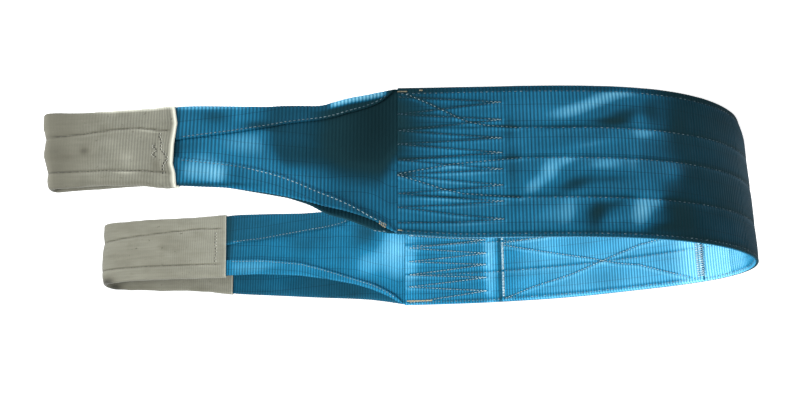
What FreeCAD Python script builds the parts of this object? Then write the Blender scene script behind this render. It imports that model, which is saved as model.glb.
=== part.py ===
import FreeCAD, Part
import math
import os

# Flat woven web sling: a doubled load part bent round a bight, standing on its edge,
# with a folded, sleeved soft eye at each end.  Millimetres, +Z up, floor at z = 0.
# X runs along the legs (eyes at +X, bight at -X); the near leg is at -Y, the far leg at +Y.
# "Station" means length along a plan curve; "offset" means distance square to it.

# ---------------------------------------------------------------- driving dimensions
WEB_W = 240.0           # full width of the load webbing
PLY_T = 3.2             # thickness of one ply
PLY_GAP = 0.2           # clear gap between stacked plies
THREAD_H = 0.5          # height of a thread row above the cloth
THREAD_LIFT = 0.05      # gap between cloth and thread
SEAM_W = 2.4            # width of a lengthwise thread row
SEAM_Z = [9.0, 68.0, 118.0, 179.0, 232.0]   # heights of the lengthwise rows
FOLD_T = 3.0            # thickness of the folded-over edge of the eye webbing
SLEEVE_T = 1.8          # wall of the wear sleeve
SLEEVE_GAP = 0.2        # clearance between wear sleeve and webbing
FLEX_GAP = 0.8          # half gap at each flex line
BAND_STEP = 14.0        # spacing of the points that shape a band
PATH_STEP = 0.5         # spacing of the tabled points on a plan curve

# The plan tables below are in a sketch frame; this is the part's origin in that frame.
ORIGIN_X, ORIGIN_Y = 11.107, 1749.88

# (x, y) centreline of the load part, from the near splice round the bight to the far splice
BODY_POINTS = [
    (12.0, 1445.6), (-19.5, 1444.8), (-55.5, 1443.2), (-91.4, 1441.1), (-127.3, 1439.0),
    (-163.3, 1436.9), (-199.2, 1435.3), (-235.2, 1434.3), (-271.2, 1434.4), (-307.2, 1436.0),
    (-343.0, 1439.8), (-378.4, 1446.3), (-413.1, 1455.9), (-446.6, 1469.0), (-478.4, 1485.7),
    (-507.9, 1506.3), (-534.4, 1530.7), (-556.8, 1558.8), (-574.3, 1590.2), (-585.2, 1624.4),
    (-587.9, 1660.2), (-581.5, 1695.6), (-567.3, 1728.6), (-547.2, 1758.4), (-522.7, 1784.8),
    (-495.5, 1808.4), (-466.7, 1829.9), (-437.3, 1850.7), (-407.6, 1871.1), (-377.4, 1890.6),
    (-346.3, 1908.8), (-314.2, 1925.0), (-281.2, 1939.4), (-247.6, 1952.2), (-213.5, 1963.7),
    (-178.9, 1973.9), (-144.1, 1982.9), (-108.9, 1990.6), (-73.5, 1997.1), (-37.9, 2002.7),
    (-2.3, 2007.7)]

# (x, y) centrelines of the eye webbing: inner ply out, round the tip, outer ply back
TIP_X, TIP_Y, TIP_R = 526.0, 1430.0, 7.0    # round tip of the near eye
NEAR_LOOP_POINTS = [
    (12.0, 1447.3), (50.0, 1447.6), (110.0, 1446.5), (190.0, 1443.5), (285.0, 1440.5),
    (380.0, 1438.5), (470.0, 1437.5), (512.0, 1437.1), (TIP_X, TIP_Y + TIP_R)]
NEAR_LOOP_POINTS += [
    (TIP_X + TIP_R * math.cos(math.radians(angle)), TIP_Y + TIP_R * math.sin(math.radians(angle)))
    for angle in (67.5, 45, 22.5, 0, -22.5, -45, -67.5)]
NEAR_LOOP_POINTS += [
    (TIP_X, TIP_Y - TIP_R), (512.0, 1422.9), (470.0, 1422.5), (380.0, 1422.5), (285.0, 1423.5),
    (190.0, 1427.5), (110.0, 1434.0), (50.0, 1441.2), (12.0, 1443.9)]
FAR_LOOP_POINTS = [
    (-2.3, 2006.0), (60.0, 2001.0), (140.0, 1993.5), (230.0, 1987.0), (320.0, 1984.0),
    (410.0, 1984.5), (490.0, 1989.0), (545.0, 1997.5), (585.0, 2011.0), (607.0, 2032.0),
    (602.0, 2053.0), (574.0, 2067.0), (520.0, 2075.0), (440.0, 2077.5), (350.0, 2072.5),
    (260.0, 2060.0), (170.0, 2042.5), (90.0, 2026.5), (40.0, 2017.0), (-2.3, 2009.4)]

FLEX_STATIONS = [420.0, 530.0, 630.0, 720.0, 810.0, 905.0]     # flex lines of the load part
LAP_START, LAP_END = 845.0, 1229.0                             # stations of the lapped ply

# Offsets across the load part; positive is outside the U
OUTER_PLY = (PLY_GAP / 2, PLY_GAP / 2 + PLY_T)
INNER_PLY = (-PLY_GAP / 2 - PLY_T, -PLY_GAP / 2)
LAP_PLY = (INNER_PLY[0] - PLY_GAP - PLY_T, INNER_PLY[0] - PLY_GAP)
OUTER_THREAD = (OUTER_PLY[1] + THREAD_LIFT, OUTER_PLY[1] + THREAD_LIFT + THREAD_H)
INNER_THREAD = (INNER_PLY[0] - THREAD_LIFT - THREAD_H, INNER_PLY[0] - THREAD_LIFT)
LAP_THREAD = (LAP_PLY[0] - THREAD_LIFT - THREAD_H, LAP_PLY[0] - THREAD_LIFT)

# Offsets across the eye webbing; positive is outside the eye loop
EYE_PLY = (-PLY_T / 2, PLY_T / 2)
EYE_FOLD = (PLY_T / 2, PLY_T / 2 + FOLD_T)
EYE_THREAD = (EYE_FOLD[1] + THREAD_LIFT, EYE_FOLD[1] + THREAD_LIFT + THREAD_H)
SLEEVE_BORE = (-PLY_T / 2 - SLEEVE_GAP, PLY_T / 2 + FOLD_T + SLEEVE_GAP)
SLEEVE_SKIN = (SLEEVE_BORE[0] - SLEEVE_T, SLEEVE_BORE[1] + SLEEVE_T)
SLEEVE_THREAD = (SLEEVE_SKIN[1] + 0.25, SLEEVE_SKIN[1] + 0.25 + THREAD_H)


# ---------------------------------------------------------------- plan curves
def second_derivatives(lengths, values):
    """Second derivatives of the natural cubic spline through values at lengths."""
    count = len(values)
    below = [0.0] * count
    diagonal = [1.0] * count
    above = [0.0] * count
    right = [0.0] * count
    for i in range(1, count - 1):
        before, after = lengths[i] - lengths[i - 1], lengths[i + 1] - lengths[i]
        below[i], diagonal[i], above[i] = before, 2 * (before + after), after
        right[i] = 6 * ((values[i + 1] - values[i]) / after
                        - (values[i] - values[i - 1]) / before)
    for i in range(1, count):
        ratio = below[i] / diagonal[i - 1]
        diagonal[i] -= ratio * above[i - 1]
        right[i] -= ratio * right[i - 1]
    result = [0.0] * count
    result[-1] = right[-1] / diagonal[-1]
    for i in range(count - 2, -1, -1):
        result[i] = (right[i] - above[i] * result[i + 1]) / diagonal[i]
    return result


def running_length(xs, ys):
    total = [0.0]
    for i in range(1, len(xs)):
        total.append(total[-1] + math.hypot(xs[i] - xs[i - 1], ys[i] - ys[i - 1]))
    return total


class Path:
    """Smooth plan curve through sketch points, tabled by station."""

    def __init__(self, sketch_points):
        knots = ([x - ORIGIN_X for x, y in sketch_points], [y - ORIGIN_Y for x, y in sketch_points])
        lengths = running_length(*knots)
        bends = [second_derivatives(lengths, values) for values in knots]
        self.x, self.y = [], []
        last = len(lengths) - 2
        for i in range(last + 1):
            chord = lengths[i + 1] - lengths[i]
            steps = max(2, int(chord / PATH_STEP))
            for j in range(steps + (1 if i == last else 0)):
                end = j / steps
                start = 1 - end
                for table, values, bend in zip((self.x, self.y), knots, bends):
                    table.append(start * values[i] + end * values[i + 1]
                                 + ((start ** 3 - start) * bend[i]
                                    + (end ** 3 - end) * bend[i + 1]) * chord * chord / 6)
        self.stations = running_length(self.x, self.y)
        self.length = self.stations[-1]

    def at(self, station):
        """Position and unit tangent; straight on past either end."""
        low, high = 0, len(self.stations) - 1
        inside = min(max(station, 0.0), self.length)
        while high - low > 1:
            middle = (low + high) // 2
            if self.stations[middle] <= inside:
                low = middle
            else:
                high = middle
        part = (inside - self.stations[low]) / (self.stations[high] - self.stations[low])
        x = self.x[low] + part * (self.x[high] - self.x[low])
        y = self.y[low] + part * (self.y[high] - self.y[low])
        before, after = max(low - 1, 0), min(high + 1, len(self.stations) - 1)
        tan_x, tan_y = self.x[after] - self.x[before], self.y[after] - self.y[before]
        size = math.hypot(tan_x, tan_y)
        tan_x, tan_y = tan_x / size, tan_y / size
        beyond = station - inside
        return x + beyond * tan_x, y + beyond * tan_y, tan_x, tan_y

    def offset(self, station, distance, side=1.0):
        """Point beside the curve: to the left of travel for side 1, to the right for -1."""
        x, y, tan_x, tan_y = self.at(station)
        return x - side * tan_y * distance, y + side * tan_x * distance

    def station_at_x(self, sketch_x, from_start):
        """First or last station where the curve crosses a sketch X."""
        x = frame_x(sketch_x)
        order = range(1, len(self.x))
        for i in order if from_start else reversed(order):
            x0, x1 = self.x[i - 1], self.x[i]
            if (x1 - x) * (x0 - x) <= 0 and x1 != x0:
                s0, s1 = self.stations[i - 1], self.stations[i]
                return s0 + (x - x0) / (x1 - x0) * (s1 - s0)


def frame_x(sketch_x):
    return sketch_x - ORIGIN_X


# ---------------------------------------------------------------- shape helpers
def edge_through(points):
    """Straight edge for two points, spline for more."""
    vectors = [FreeCAD.Vector(*point) for point in points]
    if len(vectors) == 2:
        return Part.makeLine(*vectors)
    curve = Part.BSplineCurve()
    curve.interpolate(vectors)
    return curve.toShape()


def band(path, span, offsets, heights, side=1.0, fine=None):
    """Upright strip along a plan curve, between two stations, two offsets and two heights.

    fine = (from station, to station, step) closes up the shaping points round a tight bend.
    """
    start, end = span
    stations = [start]
    while stations[-1] < end - 1e-6:
        station = stations[-1]
        step = BAND_STEP
        if fine and fine[0] - BAND_STEP < station < fine[1]:
            step = fine[2]
        stations.append(min(station + step, end))
    # a short last step would make the spline ripple
    if len(stations) > 2 and stations[-1] - stations[-2] < 0.35 * (stations[-2] - stations[-3]):
        del stations[-2]
    out = [path.offset(s, offsets[0], side) + (heights[0],) for s in stations]
    back = [path.offset(s, offsets[1], side) + (heights[0],) for s in reversed(stations)]
    wire = Part.Wire([edge_through(out), edge_through([out[-1], back[0]]),
                      edge_through(back), edge_through([back[-1], out[0]])])
    return Part.Face(wire).extrude(FreeCAD.Vector(0, 0, heights[1] - heights[0]))


def prism_xz(outline, y_start, y_end):
    """Block with an outline in the X-Z plane, running from y_start to y_end."""
    points = [FreeCAD.Vector(x, y_start, z) for x, z in outline]
    face = Part.Face(Part.makePolygon(points + [points[0]]))
    return face.extrude(FreeCAD.Vector(0, y_end - y_start, 0))


def largest_solid(shape):
    return sorted(shape.Solids, key=lambda solid: -solid.Volume)[0]


def export(name, *shapes):
    solids = [solid for shape in shapes for solid in shape.Solids]
    result = solids[0] if len(solids) == 1 else Part.Compound(solids)
    result.exportStep("parts/%s.step" % name)


os.makedirs("parts", exist_ok=True)
body = Path(BODY_POINTS)


# ---------------------------------------------------------------- load part
NEAR_SEAM_START = 172.0     # the near leg's rows start this far along it
FAR_SEAM_STOP = 215.0       # the far leg's outer rows stop this far short of its end
SEAM_INSET = 3.0            # elsewhere the rows stop this far short of a flex line


def seam_rows(start, end, offsets):
    return [band(body, (start, end), offsets, (z - SEAM_W / 2, z + SEAM_W / 2)) for z in SEAM_Z]


def load_length(name, start, end):
    """One rigid length: outer ply, inner ply and the lengthwise rows on both faces."""
    export(name + "_outer_ply", band(body, (start, end), OUTER_PLY, (0, WEB_W)))
    export(name + "_inner_ply", band(body, (start, end), INNER_PLY, (0, WEB_W)))
    first = start + (NEAR_SEAM_START if name == "near_leg" else SEAM_INSET)
    last = end - (FAR_SEAM_STOP if name == "far_leg" else SEAM_INSET)
    threads = seam_rows(first, last, OUTER_THREAD)
    if name == "far_leg":
        threads += seam_rows(first, LAP_END - 6, LAP_THREAD)
    elif name == "bight_5":
        threads += seam_rows(first, LAP_START - 4, INNER_THREAD)
        threads += seam_rows(LAP_START + 4, last, LAP_THREAD)
    else:
        threads += seam_rows(first, last, INNER_THREAD)
    export(name + "_seam_threads", *threads)


length_names = ["near_leg"] + ["bight_%d" % i for i in range(1, 6)] + ["far_leg"]
length_ends = [0.0] + FLEX_STATIONS + [body.length]
for i, length_name in enumerate(length_names):
    load_length(length_name, length_ends[i] + FLEX_GAP, length_ends[i + 1] - FLEX_GAP)

# Lapped ply on the inside of the U, split at the last flex line
LAP_Z = (1.0, WEB_W - 1.0)
far_leg_start = FLEX_STATIONS[5] + FLEX_GAP
export("far_leg_lap_ply", band(body, (far_leg_start, LAP_END), LAP_PLY, LAP_Z))
export("bight_5_lap_ply",
       band(body, (LAP_START, FLEX_STATIONS[5] - FLEX_GAP), LAP_PLY, LAP_Z))


# ---------------------------------------------------------------- splices
THREAD_ZONE = (2.0, WEB_W - 2.0)        # heights of the slab that slanting rows are cut from
ZIGZAG_COUNT = 8                        # full zigzags across the width
ZIGZAG_Z = (16.0, WEB_W - 14.0)
SLANT_W = 3.0                           # height of a slanting row, measured along Z


def zigzag_thread(start, end, offsets):
    """Zigzag row up the width, wrapped on the face of a ply."""
    x_start, y_start = body.offset(start, offsets[0])
    x_end, y_end = body.offset(end, offsets[0])
    bottom, top = ZIGZAG_Z
    half = SLANT_W / 2
    rise = (top - bottom) / (2 * ZIGZAG_COUNT)
    notch = half * (x_end - x_start) / rise
    upper = [(x_start, bottom + half)]
    lower = [(x_start, bottom - half)]
    for i in range(1, 2 * ZIGZAG_COUNT):
        z = bottom + rise * i
        if i % 2:
            lower += [(x_end, z - half), (x_end, z + half)]
            upper.append((x_end - notch, z))
        else:
            upper += [(x_start, z - half), (x_start, z + half)]
            lower.append((x_start + notch, z))
    upper.append((x_start, top - half))
    lower.append((x_start, top + half))
    slab = band(body, (min(start, end) - 3, max(start, end) + 3), offsets, THREAD_ZONE)
    prism = prism_xz(lower + upper[::-1], min(y_start, y_end) - 60, max(y_start, y_end) + 60)
    return largest_solid(slab.common(prism))


for tag, start, end in (("near", 8.0, 168.0), ("far", body.length - 8.0, LAP_END + 8.0)):
    export(tag + "_splice_zigzag_thread",
           zigzag_thread(start, end, OUTER_THREAD), zigzag_thread(start, end, INNER_THREAD))

# Bar tacks at the corners beside the eye roots: outer face near, inner face far
TACK_INSET = (5.0, 20.0)
TACK_TOP = 0.9                          # height of a tack's face above the ply
TACK_Z = [(3.0, 8.0), (232.0, 237.0)]
near_tack = (OUTER_PLY[1] + THREAD_LIFT, OUTER_PLY[1] + TACK_TOP)
far_tack = (INNER_PLY[0] - TACK_TOP, INNER_PLY[0] - THREAD_LIFT)
far_tack_span = (body.length - TACK_INSET[1], body.length - TACK_INSET[0])
export("near_corner_tacks", *[band(body, TACK_INSET, near_tack, z_span) for z_span in TACK_Z])
export("far_corner_tacks", *[band(body, far_tack_span, far_tack, z_span) for z_span in TACK_Z])

# Row across the end of the lapped ply, broken at the lengthwise rows
LAP_END_ROW_Z = [(11.5, 65.0), (71.0, 115.0), (121.0, 176.0), (182.0, 229.0)]
export("far_lap_end_thread",
       *[band(body, (LAP_END - 4.5, LAP_END - 1.5), LAP_THREAD, z_span)
         for z_span in LAP_END_ROW_Z])

# Two crossing rows on the lapped ply
CROSS_END = LAP_END - 12.0
CROSS_START = far_leg_start + 4.0
SEAM_BREAK = 4.4                        # gap left where a crossing row meets a lengthwise row


def cross_row(z_at_end, z_at_start):
    x_end, y_end = body.offset(CROSS_END, LAP_THREAD[0])
    x_start, y_start = body.offset(CROSS_START, LAP_THREAD[0])
    half = SLANT_W / 2
    outline = [(x_end, z_at_end - half), (x_start, z_at_start - half),
               (x_start, z_at_start + half), (x_end, z_at_end + half)]
    slab = band(body, (CROSS_START, CROSS_END), LAP_THREAD, THREAD_ZONE)
    for z in SEAM_Z:
        corner = FreeCAD.Vector(-1000, -1000, z - SEAM_BREAK / 2)
        slab = slab.cut(Part.makeBox(2000, 2000, SEAM_BREAK, corner))
    return slab.common(prism_xz(outline, min(y_end, y_start) - 80, max(y_end, y_start) + 80))


rising_row = cross_row(116.0, 200.0)
falling_row = cross_row(226.0, 142.0).cut(rising_row)
# slivers left by the cuts are dropped
export("far_lap_cross_thread",
       *[solid for solid in rising_row.Solids + falling_row.Solids if solid.Volume > 0.5])


# ---------------------------------------------------------------- eyes
# Folded edges of each neck: (sketch X, lower edge Z, upper edge Z)
NEAR_EDGES = [
    (12.0, 2.0, 235.0), (31.0, 7.0, 229.0), (55.0, 14.0, 220.5), (80.0, 20.0, 212.0),
    (104.0, 26.0, 204.0), (134.0, 32.0, 194.0), (168.0, 36.0, 184.0), (208.0, 39.0, 177.0),
    (262.0, 41.0, 170.0), (333.0, 43.0, 168.5)]
FAR_INNER_EDGES = [
    (-2.0, 3.0, 236.0), (24.0, 9.0, 223.0), (57.0, 20.0, 208.0), (89.0, 30.0, 199.0),
    (122.0, 39.0, 193.5), (165.0, 49.0, 188.0), (205.0, 54.5, 185.5), (289.0, 60.0, 186.0),
    (353.0, 64.0, 190.0)]
FAR_OUTER_EDGES = [
    (-2.0, 3.0, 236.0), (60.0, 14.0, 228.0), (130.0, 30.0, 220.0), (200.0, 44.0, 210.0),
    (270.0, 56.0, 200.0), (353.0, 64.0, 190.0)]

# Selvedges, where the folds end: (sketch X, lower fold's Z, upper fold's Z)
NEAR_SELVEDGES = [
    (12.0, 2.5, 234.5), (34.0, 18.0, 221.0), (138.0, 58.0, 176.0), (219.0, 77.0, 140.0),
    (333.0, 96.0, 123.0)]
FAR_INNER_SELVEDGES = [
    (-2.0, 3.5, 235.5), (50.0, 34.0, 200.0), (115.0, 73.0, 180.0), (189.0, 92.0, 160.0),
    (281.0, 111.0, 151.0), (353.0, 121.0, 152.0)]
FAR_OUTER_SELVEDGES = [
    (-2.0, 3.5, 235.5), (60.0, 24.0, 219.0), (130.0, 52.0, 203.0), (200.0, 78.0, 182.0),
    (270.0, 100.0, 163.0), (353.0, 121.0, 152.0)]

LOWER, UPPER = 1, 2             # columns of the tables above
EYE_Y = (-400.0, 400.0)         # Y run of the prisms that trim the eye webbing
NECK_RUN_ON = 40.0              # neck outlines run on past the sleeve mouth by this much
ROOT_RUN_ON = 12.0              # and past the root by this much
FOLD_START = 14.0               # folds start this far from the root
FOLD_ROW_START = 40.0           # selvedge thread rows start this far from the root
FOLD_ROW_INSET = 2.0            # gap between a selvedge and its thread row
FOLD_ROW_W = 2.0
SLEEVE_WEB_INSET = 2.2          # sleeve edge to webbing edge, in Z
SLEEVE_ROWS = (0.27, 0.78)      # heights of the sleeve's rows, as parts of its height


def height_at(table, column, x):
    """Height read off a table at a sketch X."""
    for i in range(1, len(table)):
        if x <= table[i][0] or i == len(table) - 1:
            before, after = table[i - 1], table[i]
            part = (x - before[0]) / (after[0] - before[0])
            return before[column] + part * (after[column] - before[column])


def neck_outline(edges, x_end):
    xs = [edges[0][0] - ROOT_RUN_ON] + [row[0] for row in edges[1:]] + [x_end]
    rows = edges + [edges[-1]]
    lower = [(frame_x(x), row[LOWER]) for x, row in zip(xs, rows)]
    upper = [(frame_x(x), row[UPPER]) for x, row in zip(xs, rows)]
    return lower + upper[::-1]


def fold_outline(edges, selvedges, column, x_start, x_end):
    xs = sorted({x_start} | {row[0] for row in edges + selvedges if row[0] > x_start})
    sides = []
    for table in (edges, selvedges):
        sides.append([(frame_x(x), height_at(table, column, x)) for x in xs]
                     + [(frame_x(x_end), table[-1][column])])
    return sides[0] + sides[1][::-1]


def selvedge_row_outline(selvedges, column, x_start, x_end):
    sign = 1.0 if column == UPPER else -1.0
    xs = [x_start] + [row[0] for row in selvedges if x_start < row[0] < x_end] + [x_end]
    sides = [[(frame_x(x), height_at(selvedges, column, x) + sign * inset) for x in xs]
             for inset in (FOLD_ROW_INSET, FOLD_ROW_INSET + FOLD_ROW_W)]
    return sides[0] + sides[1][::-1]


def eye_flex_stations(loop, side, mid_length):
    """Stations of the inner mid, outer mid and tip flex lines.

    Root, mids and tip are placed as a parallelogram; the inner mid is moved about
    mid_length until the fourth corner falls closest to the skin of the tip.
    """
    length = loop.length
    root = loop.offset(length, PLY_T / 2, side)
    candidates = []
    for k in range(-160, 161):
        inner_mid = mid_length + k * 0.5
        inner_pivot = loop.offset(inner_mid, -PLY_T / 2, side)
        # outer ply station at the same X
        low, high = length * 0.55, length
        for _ in range(40):
            middle = (low + high) / 2
            if loop.offset(middle, -PLY_T / 2, side)[0] > inner_pivot[0]:
                low = middle
            else:
                high = middle
        outer_pivot = loop.offset(low, -PLY_T / 2, side)
        corner_x = inner_pivot[0] + outer_pivot[0] - root[0]
        corner_y = inner_pivot[1] + outer_pivot[1] - root[1]
        tip, tip_error = None, 1e9
        station = length * 0.40
        while station < length * 0.60:
            x, y = loop.offset(station, SLEEVE_SKIN[1] + THREAD_H, side)
            error = math.hypot(x - corner_x, y - corner_y)
            if error < tip_error:
                tip, tip_error = station, error
            station += 0.5
        candidates.append((tip_error, inner_mid, low, tip))
    return min(candidates, key=lambda candidate: candidate[0])[1:]


def neck_web(strip, span, edges, selvedges, x_end):
    """Base strip with its lower and upper edges folded over on the outside."""
    x_start = edges[0][0] + FOLD_START
    base = strip(span, EYE_PLY, (0, WEB_W)).common(prism_xz(neck_outline(edges, x_end), *EYE_Y))
    cloth = strip(span, EYE_FOLD, (0, WEB_W))
    folds = []
    for column in (LOWER, UPPER):
        outline = fold_outline(edges, selvedges, column, x_start, x_end)
        folds.append(largest_solid(cloth.common(prism_xz(outline, *EYE_Y))))
    return largest_solid(largest_solid(base).fuse(folds))


def neck_threads(strip, span, selvedges, x_end):
    """Thread rows along the two selvedges of a neck."""
    x_start = selvedges[0][0] + FOLD_ROW_START
    slab = strip(span, EYE_THREAD, (0, WEB_W))
    threads = []
    for column in (LOWER, UPPER):
        outline = selvedge_row_outline(selvedges, column, x_start, x_end)
        threads.append(largest_solid(slab.common(prism_xz(outline, *EYE_Y))))
    return threads


def tip_web(strip, span, sleeve_z, selvedges, fine):
    """Folded webbing through the sleeve, open between the selvedges."""
    web_z = (sleeve_z[0] + SLEEVE_WEB_INSET, sleeve_z[1] - SLEEVE_WEB_INSET)
    thick = strip(span, (EYE_PLY[0], EYE_FOLD[1]), web_z, fine)
    opening = strip((span[0] - 1.0, span[1] + 1.0), (EYE_FOLD[0], EYE_FOLD[1] + 1.0),
                    selvedges[-1][1:], fine)
    return largest_solid(thick.cut(opening))


def wear_sleeve(strip, span, sleeve_z, fine):
    """Flat tube round the folded webbing."""
    skin = strip(span, SLEEVE_SKIN, sleeve_z, fine)
    bore = strip((span[0] - 1.0, span[1] + 1.0), SLEEVE_BORE,
                 (sleeve_z[0] + SLEEVE_T, sleeve_z[1] - SLEEVE_T), fine)
    return skin.cut(bore)


def sleeve_threads(strip, row_span, cross_station, sleeve_z):
    """Two lengthwise rows and one row across near the sleeve mouth."""
    low, high = [sleeve_z[0] + part * (sleeve_z[1] - sleeve_z[0]) for part in SLEEVE_ROWS]
    half = SEAM_W / 2
    return [strip(row_span, SLEEVE_THREAD, (low - half, low + half)),
            strip(row_span, SLEEVE_THREAD, (high - half, high + half)),
            strip((cross_station - 1.5, cross_station + 1.5), SLEEVE_THREAD,
                  (low - half, high + half))]


def build_eye(tag, points, side, mid_length, sleeve_x, sleeve_z, tables, row_stop, fine):
    """Both plies of one eye; tables holds (ply name, edges, selvedges), inner ply first.

    row_stop is how far short of the tip flex line the sleeve's lengthwise rows end.
    """
    loop = Path(points)
    inner_mid, outer_mid, tip = eye_flex_stations(loop, side, mid_length)

    def strip(span, offsets, heights, fine_span=None):
        return band(loop, span, offsets, heights, side, fine_span)

    for ply, edges, selvedges in tables:
        is_inner = ply == "inner"

        def shorten(span, root_end, tip_end):
            """Take root_end off the end toward the root and tip_end off the other."""
            if is_inner:
                return span[0] + root_end, span[1] - tip_end
            return span[0] + tip_end, span[1] - root_end

        mid = inner_mid if is_inner else outer_mid
        mouth = loop.station_at_x(sleeve_x, is_inner)
        neck = (0.0, mid) if is_inner else (mid, loop.length)
        neck = shorten(neck, FLEX_GAP, FLEX_GAP)
        half_tip = (mid, tip) if is_inner else (tip, mid)
        half_tip = shorten(half_tip, FLEX_GAP, FLEX_GAP)
        sleeve = (mouth, half_tip[1]) if is_inner else (half_tip[0], mouth)
        sleeve = shorten(sleeve, 4.0, 0.0)
        cross_station = sleeve[0] + 9.0 if is_inner else sleeve[1] - 9.0
        row_end_x = loop.at(mid)[0] + ORIGIN_X - 3

        name = "%s_eye_%s_" % (tag, ply)
        export(name + "neck_web", neck_web(strip, neck, edges, selvedges, sleeve_x + NECK_RUN_ON))
        export(name + "neck_thread",
               *neck_threads(strip, shorten(neck, 3, 2), selvedges, row_end_x))
        export(name + "tip_web", tip_web(strip, half_tip, sleeve_z, selvedges, fine))
        export(name + "sleeve", wear_sleeve(strip, sleeve, sleeve_z, fine))
        export(name + "sleeve_thread",
               *sleeve_threads(strip, shorten(sleeve, 14.0, row_stop), cross_station, sleeve_z))


build_eye("near", NEAR_LOOP_POINTS, side=1.0, mid_length=268.0,
          sleeve_x=333.0, sleeve_z=(42.0, 170.0),
          tables=(("inner", NEAR_EDGES, NEAR_SELVEDGES), ("outer", NEAR_EDGES, NEAR_SELVEDGES)),
          row_stop=12.0, fine=(500.0, 560.0, 1.5))
build_eye("far", FAR_LOOP_POINTS, side=-1.0, mid_length=315.0,
          sleeve_x=353.0, sleeve_z=(63.0, 191.0),
          tables=(("inner", FAR_INNER_EDGES, FAR_INNER_SELVEDGES),
                  ("outer", FAR_OUTER_EDGES, FAR_OUTER_SELVEDGES)),
          row_stop=20.0, fine=(560.0, 700.0, 5.0))
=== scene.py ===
"""A flat webbing sling with a sleeved eye at each end, bent into a U and standing on edge.

The bend points to -X and both eyes reach to +X. The near leg lies at -Y and the far leg at
+Y. The width of the webbing runs up Z from the floor.
"""
import bpy
import math
import numpy as np
from mathutils import Matrix, Vector


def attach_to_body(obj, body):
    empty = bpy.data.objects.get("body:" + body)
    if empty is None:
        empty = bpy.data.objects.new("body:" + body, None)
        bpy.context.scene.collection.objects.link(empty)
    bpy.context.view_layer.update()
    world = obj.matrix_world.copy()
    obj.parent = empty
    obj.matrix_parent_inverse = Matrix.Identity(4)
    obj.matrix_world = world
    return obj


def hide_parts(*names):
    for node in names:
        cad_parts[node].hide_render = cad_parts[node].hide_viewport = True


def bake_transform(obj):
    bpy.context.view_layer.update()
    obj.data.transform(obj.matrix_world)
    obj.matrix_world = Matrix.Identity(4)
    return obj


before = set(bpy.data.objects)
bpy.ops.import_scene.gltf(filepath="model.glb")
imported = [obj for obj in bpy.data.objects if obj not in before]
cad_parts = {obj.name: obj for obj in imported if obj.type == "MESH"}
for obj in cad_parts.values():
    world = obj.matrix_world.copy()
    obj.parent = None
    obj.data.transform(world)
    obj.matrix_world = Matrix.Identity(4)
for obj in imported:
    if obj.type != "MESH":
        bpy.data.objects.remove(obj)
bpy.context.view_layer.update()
from types import SimpleNamespace as Spec

MM = 0.001

# ---------------------------------------------------------------- driving sizes and lines
WEB_W, PLY_T = 240.0, 3.2       # width of the webbing, thickness of one ply
HALF_W = 0.12                   # mid height of the webbing, in metres
RIB = 5.5                       # pitch of the crosswise ribs of the webbing
SLEEVE_RIB = 4.4                # pitch of the ribs of the wear sleeves
ORIGIN = (11.107, 1749.88)      # place in the drawing that becomes zero in the scene
SEAM_Z = [9.5, 69.0, 117.5, 179.5, 235.0]   # lengthwise rows of stitching

# Centre lines in plan, as (X, Y) in the drawing
BODY_PTS = [
    (12.0, 1445.6), (-19.5, 1444.8), (-55.5, 1443.2), (-91.4, 1441.1), (-127.3, 1439.0),
    (-163.3, 1436.9), (-199.2, 1435.3), (-235.2, 1434.3), (-271.2, 1434.4), (-307.2, 1436.0),
    (-343.0, 1439.8), (-378.4, 1446.3), (-413.1, 1455.9), (-446.6, 1469.0), (-478.4, 1485.7),
    (-507.9, 1506.3), (-534.4, 1530.7), (-556.8, 1558.8), (-574.3, 1590.2), (-585.2, 1624.4),
    (-587.9, 1660.2), (-581.5, 1695.6), (-567.3, 1728.6), (-547.2, 1758.4), (-522.7, 1784.8),
    (-495.5, 1808.4), (-466.7, 1829.9), (-437.3, 1850.7), (-407.6, 1871.1), (-377.4, 1890.6),
    (-346.3, 1908.8), (-314.2, 1925.0), (-281.2, 1939.4), (-247.6, 1952.2), (-213.5, 1963.7),
    (-178.9, 1973.9), (-144.1, 1982.9), (-108.9, 1990.6), (-73.5, 1997.1), (-37.9, 2002.7),
    (-2.3, 2007.7)]
TIP_X, TIP_Y, TIP_R = 526.0, 1430.0, 7.0    # round tip of the near eye
TIP_ARC = [(TIP_X + TIP_R * math.cos(math.radians(a)), TIP_Y + TIP_R * math.sin(math.radians(a)))
           for a in (67.5, 45, 22.5, 0, -22.5, -45, -67.5)]
NEAR_LOOP = [
    (12.0, 1447.3), (50.0, 1447.6), (110.0, 1446.5), (190.0, 1443.5), (285.0, 1440.5),
    (380.0, 1438.5), (470.0, 1437.5), (512.0, 1437.1), (TIP_X, TIP_Y + TIP_R), *TIP_ARC,
    (TIP_X, TIP_Y - TIP_R), (512.0, 1422.9), (470.0, 1422.5), (380.0, 1422.5), (285.0, 1423.5),
    (190.0, 1427.5), (110.0, 1434.0), (50.0, 1441.2), (12.0, 1443.9)]
FAR_LOOP = [
    (-2.3, 2006.0), (60.0, 2001.0), (140.0, 1993.5), (230.0, 1987.0), (320.0, 1984.0),
    (410.0, 1984.5), (490.0, 1989.0), (545.0, 1997.5), (585.0, 2011.0), (607.0, 2032.0),
    (602.0, 2053.0), (574.0, 2067.0), (520.0, 2075.0), (440.0, 2077.5), (350.0, 2072.5),
    (260.0, 2060.0), (170.0, 2042.5), (90.0, 2026.5), (40.0, 2017.0), (-2.3, 2009.4)]


# ---------------------------------------------------------------- paths and curves
def run_length(points):
    """Distance along a broken line at each of its points."""
    return np.concatenate([[0], np.cumsum(np.hypot(*np.diff(points, axis=0).T))])


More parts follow.
